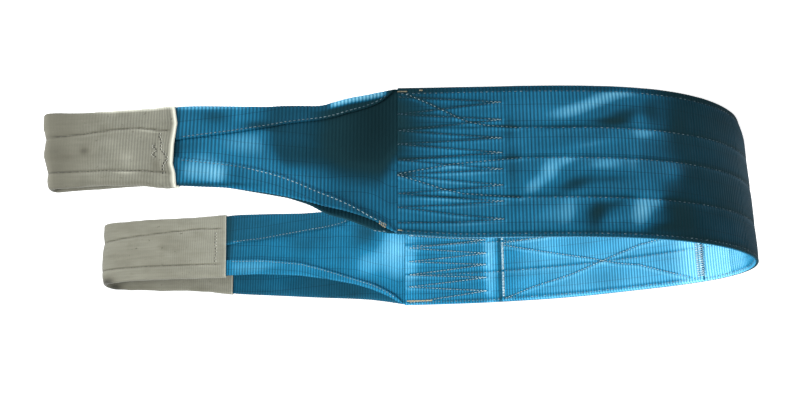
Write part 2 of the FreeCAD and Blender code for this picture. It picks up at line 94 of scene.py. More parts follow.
class Path:
    """Natural cubic spline through plan points, sampled about every half mm."""

    STEP = 0.5

    def __init__(self, points):
        P = np.array(points, float) - np.array(ORIGIN)
        count = len(P)
        h = np.diff(run_length(P))
        A = np.zeros((count, count))
        B = np.zeros((count, 2))
        A[0, 0] = A[-1, -1] = 1
        for i in range(1, count - 1):
            A[i, i - 1], A[i, i], A[i, i + 1] = h[i - 1], 2 * (h[i - 1] + h[i]), h[i]
            B[i] = 6 * ((P[i + 1] - P[i]) / h[i] - (P[i] - P[i - 1]) / h[i - 1])
        curve = np.linalg.solve(A, B)
        out = []
        for i in range(count - 1):
            steps = max(2, int(h[i] / self.STEP))
            b = np.arange(steps + (1 if i == count - 2 else 0))[:, None] / steps
            a = 1 - b
            bend = (a ** 3 - a) * curve[i] + (b ** 3 - b) * curve[i + 1]
            out.append(a * P[i] + b * P[i + 1] + bend * h[i] ** 2 / 6)
        self.points = np.concatenate(out)
        self.run = run_length(self.points)
        self.length = float(self.run[-1])
        tangent = np.gradient(self.points, self.run, axis=0)
        self.tangents = tangent / np.hypot(*tangent.T)[:, None]

    def at(self, along):
        """Position and unit tangent, run on straight past both ends."""
        along = np.asarray(along, float)
        inside = np.clip(along, 0, self.length)
        tx, ty = (np.interp(inside, self.run, self.tangents[:, k]) for k in (0, 1))
        size = np.hypot(tx, ty)
        tx, ty = tx / size, ty / size
        x, y = (np.interp(inside, self.run, self.points[:, k]) for k in (0, 1))
        return x + (along - inside) * tx, y + (along - inside) * ty, tx, ty

    def where_x(self, drawing_x, first=True):
        """Length along the path at its first or last crossing of an X of the drawing."""
        gap = self.points[:, 0] - (drawing_x - ORIGIN[0])
        hits = np.nonzero(gap[1:] * gap[:-1] <= 0)[0]
        i = hits[0] if first else hits[-1]
        part = (0 - gap[i]) / (gap[i + 1] - gap[i])
        return float(self.run[i] + part * (self.run[i + 1] - self.run[i]))


body, near_loop, far_loop = Path(BODY_PTS), Path(NEAR_LOOP), Path(FAR_LOOP)
END = body.length
BEND_AT = float(body.run[np.argmin(body.points[:, 0])])     # length at the tip of the bend


def rise(x, start, end):
    """Smooth step from 0 to 1."""
    t = np.clip((np.asarray(x, float) - start) / (end - start), 0, 1)
    return t * t * (3 - 2 * t)


def fall(x, start, end):
    """Smooth step from 1 to 0."""
    return 1 - rise(x, start, end)


def bell(x, centre, width):
    return np.exp(-((np.asarray(x, float) - centre) / width) ** 2)


def mottle(x, y, seed, size_x, size_y):
    """Smooth value noise on a plane, from -1 to 1."""
    grid = np.random.default_rng(seed).uniform(-1, 1, (64, 64))
    x, y = np.broadcast_arrays(np.asarray(x, float) / size_x, np.asarray(y, float) / size_y)
    xi, yi = np.floor(x).astype(int), np.floor(y).astype(int)
    u, v = x - xi, y - yi
    u, v = u * u * (3 - 2 * u), v * v * (3 - 2 * v)
    a, b = grid[xi % 64, yi % 64], grid[(xi + 1) % 64, yi % 64]
    c, d = grid[xi % 64, (yi + 1) % 64], grid[(xi + 1) % 64, (yi + 1) % 64]
    return (a * (1 - u) + b * u) * (1 - v) + (c * (1 - u) + d * u) * v


def smooth(values, reach):
    """Running average with a rounded window."""
    weights = np.hanning(2 * reach + 3)[1:-1]
    weights /= weights.sum()
    return np.convolve(np.pad(values, (reach, reach), mode="edge"), weights, mode="valid")


def valley(along):
    """The nearest hollow between two ribs."""
    return (round(along / RIB - 0.5) + 0.5) * RIB


def rib_steps(start, end):
    """Stations from start to end, four to a rib."""
    return np.arange(int(round(start / RIB * 4)), int(round(end / RIB * 4)) + 1) * RIB / 4


def rib_wave(along):
    return 0.22 * np.cos(2 * np.pi * along / RIB)


def taper(across):
    """Thickness across the webbing, rounded off at both selvedges."""
    edge = np.clip(np.minimum(across, WEB_W - across) / 1.7, 0, 1)
    return PLY_T * np.sqrt(np.clip(1 - (1 - edge) ** 2, 0.02, 1))


# ---------------------------------------------------------------- meshes
def set_uv(mesh, corner_uv):
    layer = mesh.uv_layers.new(name="Cloth")
    layer.data.foreach_set("uv", corner_uv.astype(np.float32).ravel())


def set_attribute(mesh, name, values):
    attribute = mesh.attributes.new(name, "FLOAT", "POINT")
    attribute.data.foreach_set("value", np.asarray(values, np.float32))


def make_mesh(name, vertices, quads, uv, tone, material):
    """Smooth mesh object from vertices (mm) and quads, with a UV and a tone per vertex."""
    mesh = bpy.data.meshes.new(name)
    vertices = np.asarray(vertices, np.float32) * MM
    quads = np.asarray(quads, np.int32)
    mesh.vertices.add(len(vertices))
    mesh.vertices.foreach_set("co", vertices.ravel())
    mesh.loops.add(quads.size)
    mesh.loops.foreach_set("vertex_index", quads.ravel())
    mesh.polygons.add(len(quads))
    mesh.polygons.foreach_set("loop_start", np.arange(0, quads.size, 4, dtype=np.int32))
    mesh.update(calc_edges=True)
    mesh.polygons.foreach_set("use_smooth", np.ones(len(quads), bool))
    if uv is not None:
        set_uv(mesh, np.asarray(uv, np.float32)[quads.ravel()])
    set_attribute(mesh, "tone", tone)
    mesh.validate()
    mesh.update()
    ob = bpy.data.objects.new(name, mesh)
    bpy.context.scene.collection.objects.link(ob)
    mesh.materials.append(material)
    return ob


def attach(ob, hold, nodes=()):
    if len(hold) == 1:
        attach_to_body(ob, hold[0])
    else:
        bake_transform(ob)
    if nodes:
        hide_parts(*nodes)


def grid_quads(rows, cols, offset, flip):
    i = np.arange(rows - 1)[:, None]
    j = np.arange(cols - 1)[None, :]
    a, d = i * cols + j, (i + 1) * cols + j
    order = [a, d, d + 1, a + 1] if flip else [a, a + 1, d + 1, d]
    return np.stack(order, -1).reshape(-1, 4) + offset


def unit(vectors, least=0.0):
    return vectors / np.maximum(np.linalg.norm(vectors, axis=-1, keepdims=True), least)


class Surface:
    """A grid of mid-surface points with normals, thickness and the relief of both faces."""

    def __init__(self, stations, widths, points, normals, thick, relief):
        self.stations, self.points, self.normals = stations, points, normals
        self.widths = np.broadcast_to(widths, points.shape[:2])
        self.thick, self.relief = thick, relief

    def at(self, along, across, face, lift):
        """Points and normals on one face (1 or -1), by length and width coordinates."""
        rows = np.interp(along, self.stations, np.arange(len(self.stations)))
        i = np.clip(rows.astype(int), 0, len(self.stations) - 2)
        u = (rows - i)[:, None]
        widths = self.widths[i]
        each = np.arange(len(across))
        j = np.array([np.searchsorted(widths[k], across[k]) - 1 for k in each], int)
        j = np.clip(j, 0, widths.shape[1] - 2)
        left, right = widths[each, j], widths[each, j + 1]
        v = np.clip((across - left) / np.maximum(right - left, 1e-9), 0, 1)[:, None]

        def sample(grid):
            first = grid[i, j] * (1 - v) + grid[i, j + 1] * v
            return first * (1 - u) + (grid[i + 1, j] * (1 - v) + grid[i + 1, j + 1] * v) * u
        normal = unit(sample(self.normals))
        relief = sample(self.relief[0 if face > 0 else 1][..., None])
        thick = sample(self.thick[..., None])
        return sample(self.points) + face * normal * (thick / 2 + relief + lift), normal * face


class Strip(Surface):
    """A cloth strip laid along a path; side is 1 or -1 for which way its depth counts."""

    def __init__(self, path, side, stations, cloth_u, depth, height, widths, thick, relief,
                 tone, lean=0.0):
        x, y, tx, ty = path.at(stations)
        nx, ny = -side * ty, side * tx
        points = np.stack([x[:, None] + nx[:, None] * depth, y[:, None] + ny[:, None] * depth,
                           height], -1) + lean
        normals = np.cross(np.gradient(points, axis=1), np.gradient(points, stations, axis=0))
        super().__init__(stations, widths, points, unit(normals * side, 1e-9), thick, relief)
        self.side, self.cloth_u, self.tone = side, cloth_u, tone

    def mesh(self, name, start, end):
        """Closed mesh of the strip between two stations."""
        first, last = (int(np.argmin(abs(self.stations - s))) for s in (start, end))
        part = slice(first, last + 1)
        mid, half = self.points[part], self.thick[part] / 2
        rise_out = self.normals[part] * (half + self.relief[0][part])[..., None]
        rise_in = self.normals[part] * (half + self.relief[1][part])[..., None]
        rows, cols = mid.shape[:2]
        count = rows * cols
        vertices = np.concatenate([(mid + rise_out).reshape(-1, 3), (mid - rise_in).reshape(-1, 3)])
        flip = self.side < 0
        quads = [grid_quads(rows, cols, 0, flip), grid_quads(rows, cols, count, not flip)]

        def close(a, b, flipped):
            order = [a, a + count, b + count, b] if flipped else [a, b, b + count, a + count]
            quads.append(np.stack(order, -1))
        for col, flipped in ((0, flip), (cols - 1, not flip)):
            a = np.arange(rows - 1) * cols + col
            close(a, a + cols, flipped)
        for row, flipped in ((0, not flip), (rows - 1, flip)):
            a = row * cols + np.arange(cols - 1)
            close(a, a + 1, flipped)
        u = np.broadcast_to(self.cloth_u[part, None], (rows, cols))
        uv = np.stack([u, self.widths[part]], -1).reshape(-1, 2) * MM
        tone = self.tone[part].ravel()
        return make_mesh(name, vertices, np.concatenate(quads), np.concatenate([uv, uv]),
                         np.concatenate([tone, tone]), WEBBING)


# ---------------------------------------------------------------- materials (metres)
class Shader:
    """A node material with one principled shader, and short hands for its nodes."""

    def __init__(self, name):
        self.material = bpy.data.materials.new(name)
        self.material.use_nodes = True
        self.tree = self.material.node_tree
        self.tree.nodes.clear()
        output = self.node("OutputMaterial")
        self.principled = self.node("BsdfPrincipled")
        self.tree.links.new(self.principled.outputs[0], output.inputs["Surface"])
        uv_map = self.node("UVMap")
        uv_map.uv_map = "Cloth"
        split = self.node("SeparateXYZ")
        self.tree.links.new(uv_map.outputs[0], split.inputs[0])
        self.u, self.v = split.outputs[0], split.outputs[1]
        self.tone = self.attribute("tone")

    def node(self, kind):
        return self.tree.nodes.new("ShaderNode" + kind)

    def link(self, source, socket):
        """Feed a socket from a number, an RGB colour or another node."""
        if isinstance(source, (int, float)):
            socket.default_value = source
        elif isinstance(source, tuple):
            socket.default_value = source + (1.0,)
        else:
            self.tree.links.new(source, socket)

    def surface(self, inputs):
        for name, source in inputs.items():
            self.link(source, self.principled.inputs[name])

    def math(self, operation, *sources, clamp=False):
        node = self.node("Math")
        node.operation, node.use_clamp = operation, clamp
        if len(sources) == 1:
            sources += (0.0,)
        for source, socket in zip(sources, node.inputs):
            self.link(source, socket)
        return node.outputs[0]

    def add(self, a, b):
        return self.math("ADD", a, b)

    def sub(self, a, b):
        return self.math("SUBTRACT", a, b)

    def mul(self, a, b, clamp=False):
        return self.math("MULTIPLY", a, b, clamp=clamp)

    def scale(self, x, gain, plus, clamp=False):
        """x * gain + plus."""
        return self.math("MULTIPLY_ADD", x, gain, plus, clamp=clamp)

    def mix(self, factor, a, b, mode="MIX"):
        node = self.node("Mix")
        node.data_type, node.blend_type, node.clamp_factor = "RGBA", mode, True
        for source, index in ((factor, 0), (a, 6), (b, 7)):
            self.link(source, node.inputs[index])
        return node.outputs[2]

    def vector(self, x, y, z=0.0):
        node = self.node("CombineXYZ")
        for source, socket in zip((x, y, z), node.inputs):
            self.link(source, socket)
        return node.outputs[0]

    def shade(self, colour, factor):
        """Colour multiplied by one factor."""
        return self.mix(1.0, colour, self.vector(factor, factor, factor), "MULTIPLY")

    def noise(self, vector, scale, detail, rough=0.5):
        node = self.node("TexNoise")
        self.link(vector, node.inputs["Vector"])
        node.inputs["Scale"].default_value = scale
        node.inputs["Detail"].default_value = detail
        node.inputs["Roughness"].default_value = rough
        return node.outputs["Fac"]

    def grain(self, along, across, detail, rough=0.5):
        """Noise on the cloth, with its own frequency along and across."""
        vector = self.vector(self.mul(self.u, along), self.mul(self.v, across))
        return self.noise(vector, 1.0, detail, rough)

    def attribute(self, name):
        node = self.node("Attribute")
        node.attribute_name = name
        return node.outputs["Fac"]

    def ramp(self, x, low, high):
        """Straight map of x from low..high to 0..1, clamped."""
        node = self.node("MapRange")
        node.clamp = True
        self.link(x, node.inputs[0])
        node.inputs[1].default_value, node.inputs[2].default_value = low, high
        return node.outputs[0]

    def bump(self, height, distance, strength):
        node = self.node("Bump")
        node.inputs["Strength"].default_value = strength
        node.inputs["Distance"].default_value = distance
        self.link(height, node.inputs["Height"])
        self.tree.links.new(node.outputs[0], self.principled.inputs["Normal"])

    def wave(self, x, pitch):
        """Cosine of x with the given pitch, from 0 to 1."""
        turn = self.scale(x, gain=2 * math.pi / pitch, plus=0.0)
        return self.scale(self.math("COSINE", turn), gain=0.5, plus=0.5)

    def weave(self, rib_pitch, shift, yarn_pitch):
        """Crosswise ribs, and lengthwise yarns shifted on every second rib."""
        rib = self.wave(self.u, rib_pitch)
        half = self.wave(self.u, rib_pitch * 2)
        return rib, self.wave(self.add(self.v, self.mul(half, shift)), yarn_pitch)


def webbing_material():
    sh = Shader("blue_webbing")
    tone = sh.tone
    rib, yarn = sh.weave(RIB * MM, shift=0.0009, yarn_pitch=0.0021)
    fine = sh.grain(along=900.0, across=1500.0, detail=2.0)
    broad = sh.grain(along=14.0, across=30.0, detail=3.0)
    streak = sh.grain(along=170.0, across=9.0, detail=1.0)
    # rib brightness, uneven from rib to rib
    light = sh.math("POWER", rib, 1.25)
    light = sh.mul(light, sh.scale(yarn, gain=0.30, plus=0.80))
    light = sh.mul(light, sh.scale(streak, gain=0.8, plus=0.58))
    light = sh.mul(light, sh.scale(fine, gain=0.5, plus=0.75), clamp=True)
    # in painted shade the cloth shows its ribs less and tends to the middle brightness
    middle = 0.42
    contrast = sh.ramp(tone, low=0.15, high=0.95)
    light = sh.scale(sh.sub(light, middle), gain=contrast, plus=middle)
    colour = sh.mix(light, (0.002, 0.058, 0.110), (0.0095, 0.162, 0.300))
    # woven marker lines, dark and evenly spaced across the width
    stripe_pitch, stripe_shift = 0.02667, -0.0048
    phase = sh.math("FRACT", sh.mul(sh.add(sh.v, stripe_shift), 1 / stripe_pitch))
    off_middle = sh.math("ABSOLUTE", sh.sub(phase, 0.5))
    line = sh.sub(1.0, sh.ramp(sh.sub(0.5, off_middle), low=0.010, high=0.030))
    colour = sh.mix(sh.mul(line, 0.55), colour, (0.001, 0.018, 0.040))
    # broad patches, then the tone, which carries the painted light and shade
    patch = sh.scale(sh.ramp(broad, low=0.25, high=0.75), gain=0.34, plus=0.83)
    colour = sh.shade(colour, sh.mul(patch, sh.math("MINIMUM", tone, 1.5)))
    # painted shade: where the tone is low the colour turns a dull green-grey
    deep = sh.scale(sh.ramp(tone, low=0.05, high=0.24), gain=0.42, plus=0.58)
    dull = sh.mul(sh.scale(light, gain=0.40, plus=0.83), deep)
    low_tone_dulling = sh.mul(sh.sub(1.0, sh.ramp(tone, low=0.32, high=0.82)), 0.85)
    colour = sh.mix(low_tone_dulling, colour, sh.shade((0.0085, 0.031, 0.037), dull))
    # rubbed crests turn a pale blue
    # painted highlight: where the tone is high the colour turns a pale blue
    painted_highlight = sh.mul(sh.ramp(tone, low=1.15, high=2.7), 0.85)
    pale = sh.mix(sh.scale(light, gain=0.9, plus=0.14, clamp=True),
                  (0.024, 0.230, 0.400), (0.26, 0.62, 0.80))
    sh.surface({
        "Base Color": sh.mix(painted_highlight, colour, pale),
        "Roughness": sh.scale(light, gain=-0.12, plus=0.52),
        "Specular IOR Level": sh.scale(sh.ramp(tone, low=0.45, high=1.3), gain=0.26, plus=0.03),
        "Specular Tint": (0.55, 0.88, 1.0),
        "Sheen Weight": 0.04,
        "Sheen Roughness": 0.45,
        "Sheen Tint": (0.10, 0.55, 1.0)})
    height = sh.add(sh.mul(rib, 0.6), sh.add(sh.mul(yarn, 0.3), sh.mul(fine, 0.25)))
    sh.bump(height, distance=0.00028, strength=0.7)
    return sh.material


def sleeve_material():
    sh = Shader("wear_sleeve")
    tone = sh.tone
    rib, yarn = sh.weave(SLEEVE_RIB * MM, shift=0.0008, yarn_pitch=0.0019)
    fine = sh.grain(along=1100.0, across=1400.0, detail=3.0, rough=0.65)
    broad = sh.grain(along=18.0, across=24.0, detail=4.0, rough=0.6)
    spots = sh.grain(along=90.0, across=110.0, detail=3.0, rough=0.6)
    # ribs stand out near the mouth and are rubbed flat towards the tip
    show = sh.attribute("ribs")
    crest = sh.sub(sh.math("POWER", rib, 1.2), 0.45)
    light = sh.scale(crest, gain=sh.mul(show, 0.24), plus=0.62)
    light = sh.mul(light, sh.scale(yarn, gain=0.20, plus=0.80))
    light = sh.mul(light, sh.scale(fine, gain=0.8, plus=0.6), clamp=True)
    colour = sh.mix(light, (0.050, 0.050, 0.036), (0.300, 0.298, 0.238))
    # broad stains, small dark spots and lengthwise smears
    stain = sh.mul(sh.ramp(broad, low=0.50, high=0.72), 0.40)
    colour = sh.mix(stain, colour, (0.085, 0.083, 0.055))
    spot = sh.mul(sh.ramp(spots, low=0.66, high=0.74), 0.75)
    colour = sh.mix(spot, colour, (0.045, 0.040, 0.028))
    smear = sh.sub(sh.grain(along=16.0, across=170.0, detail=2.0), 0.5)
    strength = sh.scale(show, gain=-0.35, plus=0.62)
    colour = sh.shade(colour, sh.scale(smear, gain=strength, plus=1.0))
    # low tone turns a dull brown, and much of it is painted shade; tone above one is the cream of
    # the turned rim and the painted highlight along the near sleeve's lower edge
    low_tone_dulling = sh.mul(sh.sub(1.0, sh.ramp(tone, low=0.55, high=0.95)), 0.55)
    colour = sh.mix(low_tone_dulling, colour, (0.200, 0.188, 0.130))
    colour = sh.mix(sh.ramp(tone, low=1.05, high=1.7), colour, (0.66, 0.66, 0.56))
    sh.surface({
        "Base Color": sh.shade(colour, sh.math("MINIMUM", tone, 1.15)),
        "Roughness": sh.scale(fine, gain=0.2, plus=0.66),
        "Specular IOR Level": 0.25,
        "Sheen Weight": 0.25})
    threads = sh.add(sh.mul(yarn, 0.3), sh.mul(fine, 0.45))
    sh.bump(sh.add(sh.mul(sh.mul(rib, show), 0.4), threads), distance=0.0003, strength=0.7)
    return sh.material


def thread_material(name, dark, pale, roughness):
    sh = Shader(name)
    place = sh.node("TexCoord").outputs["Object"]
    cloud = sh.noise(place, scale=260.0, detail=2.0)
    twist = sh.wave(sh.add(sh.u, sh.v), pitch=0.0011)
    patch = sh.scale(sh.ramp(cloud, low=0.25, high=0.75), gain=0.6, plus=0.55)
    colour = sh.mix(sh.mul(sh.tone, patch, clamp=True), dark, pale)
    sh.surface({
        "Base Color": sh.mix(sh.mul(twist, 0.25), colour, dark),
        "Roughness": sh.scale(cloud, gain=0.2, plus=roughness)})
    sh.bump(twist, distance=0.00012, strength=0.6)
    return sh.material


WEBBING = webbing_material()
SLEEVE = sleeve_material()
THREAD = thread_material("pale_thread", dark=(0.006, 0.045, 0.080), pale=(0.40, 0.56, 0.60),
                         roughness=0.5)
SLEEVE_THREAD = thread_material("sleeve_thread", dark=(0.035, 0.034, 0.022),
                                pale=(0.60, 0.60, 0.52), roughness=0.55)
TACK_THREAD = thread_material("tan_thread", dark=(0.10, 0.075, 0.040), pale=(0.36, 0.31, 0.20),
                              roughness=0.5)


# ---------------------------------------------------------------- stitches
def rounded_block():
    """Small rounded block about zero: 26 corners and 24 quads."""
    index, quads = {}, []
    for axis in range(3):
        for sign in (-1, 1):
            grid = {}
            for a in range(3):
                for b in range(3):
                    point = [0, 0, 0]
                    point[axis] = sign
                    point[(axis + 1) % 3], point[(axis + 2) % 3] = a - 1, b - 1
                    grid[a, b] = index.setdefault(tuple(point), len(index))
            for a in range(2):
                for b in range(2):
                    quad = [grid[a, b], grid[a + 1, b], grid[a + 1, b + 1], grid[a, b + 1]]
                    quads.append(quad if sign > 0 else quad[::-1])
    points = np.array(list(index), float)
    points /= np.linalg.norm(points, axis=1)[:, None] ** 0.82
    return points, np.array(quads)


BLOCK_PTS, BLOCK_QUADS = rounded_block()


class Stitches:
    """Stitches gathered for one piece."""

    def __init__(self):
        self.items = []

    def row(self, surface, line, face, length, width, seed, pitch=8.4, height=0.85, lift=0.15,
            tone=0.9, jitter=0.25, span=None):
        """Stitches along a line of (along, across) points on one face.

        tone is one value, or (stations, values); span keeps only stitches between stations.
        """
        draw = np.random.default_rng(seed)
        line = np.asarray(line, float)
        run = run_length(line)
        count = max(1, int(run[-1] / pitch))
        centre = (np.arange(count) + 0.5) * run[-1] / count
        centre = centre + draw.uniform(-jitter, jitter, count)
        half = length / 2 * draw.uniform(0.85, 1.1, count)
        skew = draw.uniform(-0.35, 0.35, count)

        def on_line(distance):
            return np.interp(distance, run, line[:, 0]), np.interp(distance, run, line[:, 1])
        if span:
            along = on_line(centre)[0]
            keep = (along >= span[0]) & (along < span[1])
            if not keep.any():
                return
            centre, half, skew = centre[keep], half[keep], skew[keep]

        def end_point(sign):
            along, across = on_line(centre + sign * half)
            return surface.at(along, across + sign * skew, face, lift)[0]
        first, last = end_point(-1), end_point(1)
        along, across = on_line(centre)
        middle, normal = surface.at(along, across, face, lift)
        axis = last - first
        axis = axis / np.maximum(np.linalg.norm(axis, axis=1), 1e-6)[:, None]
        normal = unit(normal - (normal * axis).sum(1)[:, None] * axis)
        if np.isscalar(tone):
            shade = np.clip(tone + draw.uniform(-0.3, 0.15, len(centre)), 0.03, 1.0)
        else:
            shade = np.interp(along, *tone) + draw.uniform(-0.15, 0.1, len(centre))
        self.items.append(((first + last) / 2 * 0.5 + middle * 0.5, axis * half[:, None],
                           np.cross(normal, axis) * width / 2, normal * height, shade))

    def block(self, surface, start, end, low, high, face, count, seed):
        """Bar tack: a bundle of close crosswise stitches."""
        draw = np.random.default_rng(seed)
        size = abs(high - low)
        for i in range(count):
            along = start + (end - start) * (i + 0.5) / count
            line = [(along, low), (along + draw.uniform(-0.6, 0.6), high)]
            self.row(surface, line, face, pitch=size, length=size * 1.05,
                     width=1.5 * abs(end - start) / count, height=1.0,
                     lift=0.3 + draw.uniform(0, 0.3), jitter=0.0, seed=seed + i)

    def mesh(self, name, material):
        place, axis, side, up, tone = [np.concatenate(part) for part in zip(*self.items)]
        x, y, z = (BLOCK_PTS[None, :, k:k + 1] for k in range(3))
        vertices = place[:, None] + x * axis[:, None] + y * side[:, None] + z * up[:, None]
        order = np.arange(len(place))
        corners = len(BLOCK_PTS)
        quads = (BLOCK_QUADS[None] + (order * corners)[:, None, None]).reshape(-1, 4)
        half = np.linalg.norm(axis, axis=1)
        u = x[..., 0] * half[:, None] * MM + order[:, None] * 0.01
        v = y[..., 0] * np.ones(len(place))[:, None] * 0.0008
        uv = np.stack([u, v], -1).reshape(-1, 2)
        return make_mesh(name, vertices.reshape(-1, 3), quads, uv, np.repeat(tone, corners),
                         material)


# ---------------------------------------------------------------- load part: lines and shading
def zigzag(start, end, at_start, at_end):
    """Broken line that runs to and fro between two stations."""
    points = []
    for low, high in zip(at_start, at_end):
        points += [(start, low), (end, high)]
    return points + [(start, at_start[-1])]


# Sewn lines as (along, across)
NEAR_ZIG = zigzag(9.0, 167.0, [15.0, 43.6, 70.2, 92.4, 117.8, 142.1, 172.7, 195.8, 221.8],
                  [26.8, 55.4, 85.3, 108.7, 134.7, 159.9, 184.9, 212.7])
FAR_ZIG_OUT = zigzag(END - 9.0, END - 167.0,
                     [17.0, 44.0, 70.5, 96.0, 121.0, 147.0, 173.0, 198.0, 225.0],
                     [31.0, 57.0, 83.0, 109.0, 134.0, 160.0, 185.0, 211.0])
FAR_ZIG_IN = zigzag(END - 17.0, END - 176.0,
                    [18.0, 44.0, 70.0, 96.0, 122.2, 150.7, 178.1, 203.4, 236.0],
                    [31.0, 57.0, 84.0, 112.0, 140.0, 163.0, 189.5, 216.7])
LAP_CROSS = [
    [(1223, 236.0), (1165.6, 216.1), (1087.5, 197.8), (1025.0, 178.1), (946.9, 156.3),
     (894.8, 150.3), (836, 137.0)],
    [(1223, 126.5), (1205.5, 130.6), (1045.1, 170.0), (997.0, 185.2), (949.5, 194.8),
     (851.2, 231.8)],
    [(1223, 121.5), (1133.3, 116.0), (1045, 84.0), (946, 52.0), (851, 20.0)],
    [(1223, 7.0), (1133, 30.0), (1045, 56.0), (946, 86.0), (836, 116.0)]]
DIAGONALS = [
    [(20.0, 9.5), (28.3, 13.4), (62.4, 29.7), (110.3, 55.7), (125.5, 60.4), (143.7, 64.2),
     (192, 69.0)],
    [(192, 117.5), (140.8, 121.5), (94.0, 125.4), (40.9, 134.8), (5.0, 141.6), (40.8, 153.0),
     (76.9, 165.4), (108.2, 172.5), (192, 179.5)]]

# Swells and hollows of the load part's outward face, which also set its depth; their brightness is
# painted sheen on the swells and painted shade in the hollows: (along, across, half length, half
# width, turn in degrees, brightness)
SWELLS = [
    (312, 27, 40, 8, -20, 1.5), (270, 44, 26, 9, -10, 0.85), (346, 14, 30, 5, -6, 0.9),
    (238, 136, 12, 18, 28, 1.3), (214, 160, 16, 9, -40, 0.9), (262, 122, 14, 7, -20, 0.9),
    (323, 127, 26, 8, -6, 0.75), (262, 202, 13, 20, 20, 0.8), (236, 206, 20, 22, 10, 0.35),
    (374, 198, 13, 22, 24, 1.7), (398, 184, 8, 12, 20, 0.9), (330, 214, 22, 6, -12, 0.35),
    (386, 76, 18, 8, -6, 0.8), (366, 118, 9, 22, 10, 0.35), (428, 130, 20, 14, -8, 0.85),
    (300, 96, 40, 5, -12, 0.35), (378, 60, 10, 20, 8, 0.25), (352, 50, 34, 12, -22, -0.55),
    (330, 58, 40, 5, 0, -0.35), (272, 160, 30, 11, -22, -0.5), (330, 150, 40, 7, -6, -0.3),
    (303, 208, 14, 26, 14, -0.5), (330, 190, 30, 10, -20, -0.4), (404, 224, 40, 9, -8, -0.5),
    (432, 196, 26, 34, -30, -0.45), (400, 40, 16, 22, -10, -0.35), (440, 60, 20, 30, 0, -0.3),
    (178, 70, 10, 40, 0, -0.22), (182, 150, 9, 60, 0, -0.25), (250, 70, 40, 4, -4, -0.3),
    (185, 92, 22, 9, -8, 0.25), (215, 45, 30, 9, 4, 0.15), (205, 212, 24, 12, 0, 0.2),
    (214, 112, 30, 7, -6, 0.15)]


def swells(along, across):
    total = 0.0
    for mid_along, mid_across, length, width, turn, gain in SWELLS:
        cos, sin = math.cos(math.radians(turn)), math.sin(math.radians(turn))
        dx, dy = along - mid_along, across - mid_across
        x, y = dx * cos + dy * sin, -dx * sin + dy * cos
        gain *= 0.80 if gain > 0 else 1.0
        total = total + gain * np.exp(-(x / length) ** 2 - (y / width) ** 2)
    return total


def nearest_line(along, across, points):
    """Distance from every grid point to a broken line, and which side of it (-1 or 1)."""
    best = np.full(along.shape, 1e9)
    side = np.ones(along.shape)
    for (x0, y0), (x1, y1) in zip(points[:-1], points[1:]):
        dx, dy = x1 - x0, y1 - y0
        t = np.clip(((along - x0) * dx + (across - y0) * dy) / (dx ** 2 + dy ** 2), 0, 1)
        gap = across - y0 - t * dy
        distance = np.hypot(along - x0 - t * dx, gap)
        side = np.where(distance < best, np.sign(gap + 1e-9), side)
        best = np.minimum(best, distance)
    return best, side


def outward_tone(s, q):
    """Painted light and shade of the face that looks out of the U, darker along both selvedges; s
    along, q across.
    """
    before_far = fall(s, 1100, 1300)
    edge = np.clip(1 - np.minimum(q, WEB_W - q) / 8.0, 0, 1)
    tone = 1 - 0.45 * edge * before_far
    # painted sheen on the swells and painted shade in the hollows
    tone = tone * np.clip(1 + swells(s, q), 0.32, 2.5)
    # painted shade round the outside of the bend
    tone = tone * (0.94 - 0.50 * rise(s, 375, 462) * before_far)
    # deep shade at the near end, strongest low down
    tone = tone * (1 - 0.84 * fall(s, -12, 44) * bell(q, 66, 62))
    tone = tone * (1 - 0.30 * fall(s, -6, 90) * fall(q, 60, 120))
    tone = tone * (1 - 0.30 * bell(s, 30, 34) * bell(q, 62, 74))
    tone = tone * (1 - 0.15 * bell(s, 90, 85) * fall(q, 85, 125))
    # painted light: lighter patches a little further on, at mid height and above
    tone = tone * (1 + 0.12 * bell(q, 125, 60) * bell(s, 90, 60))
    return tone * (1 + 0.10 * bell(s, 105, 60) * rise(q, 125, 160))


def inward_tone(s, q):
    """Painted light and shade of the face that looks into the U."""
    leg = rise(s, 700, 745)
    tone = 1.05 + 0.36 * leg * fall(s, 1130, 1240) + 0.32 * leg * fall(s, 850, 1000)
    # painted shade: a dark line just past the lap's end
    tone = (tone - 0.12 * rise(s, 1229, 1240)) * (1 - 0.45 * bell(s, 1232.5, 3.2))
    # painted light: bright bands beyond the lap, at the far end and about the lap's start
    return tone * (1 + 0.9 * bell(s, 1252, 13) * bell(q, 150, 120)
                   + 0.75 * bell(s, 1421, 20) * bell(q, 150, 60)
                   + 0.95 * rise(s, 763, 775) * fall(s, 822, 892)
                   + 0.24 * fall(s, 757, 769) * rise(s, 640, 700))


# ---------------------------------------------------------------- load part: plies
def width_stations(fine):
    """Stations across the webbing, close at the selvedges and beside the seams."""
    edge = [0, 0.5, 1.4, 2.8]
    inner = list(np.arange(5.0, 235.5, 2.3 if fine else 4.6))
    across = set(np.round(edge + inner + [240 - e for e in edge], 3))
    for z in SEAM_Z:
        across -= {v for v in across if abs(v - z) < 3.4 and 3 < v < 237}
        across |= {z - 2.4, z - 1.1, z, z + 1.1, z + 2.4}
    return np.array(sorted(across))


def near_seams(across, shift, width):
    return sum(bell(across, z + shift, width) for z in SEAM_Z)


def bend_lean(along, across):
    """The bend leans along X: its lower edge sits towards +X, its upper edge towards -X."""
    x = np.interp(across, [0, 12, 30, 70, 120, 200, 240], [8.5, 4.0, 0.5, -1.5, -3.2, -5.5, -6.5])
    x = x * np.exp(-((along - BEND_AT) / 150.0) ** 2)
    return np.stack([x, 0 * x, 0 * x], -1)


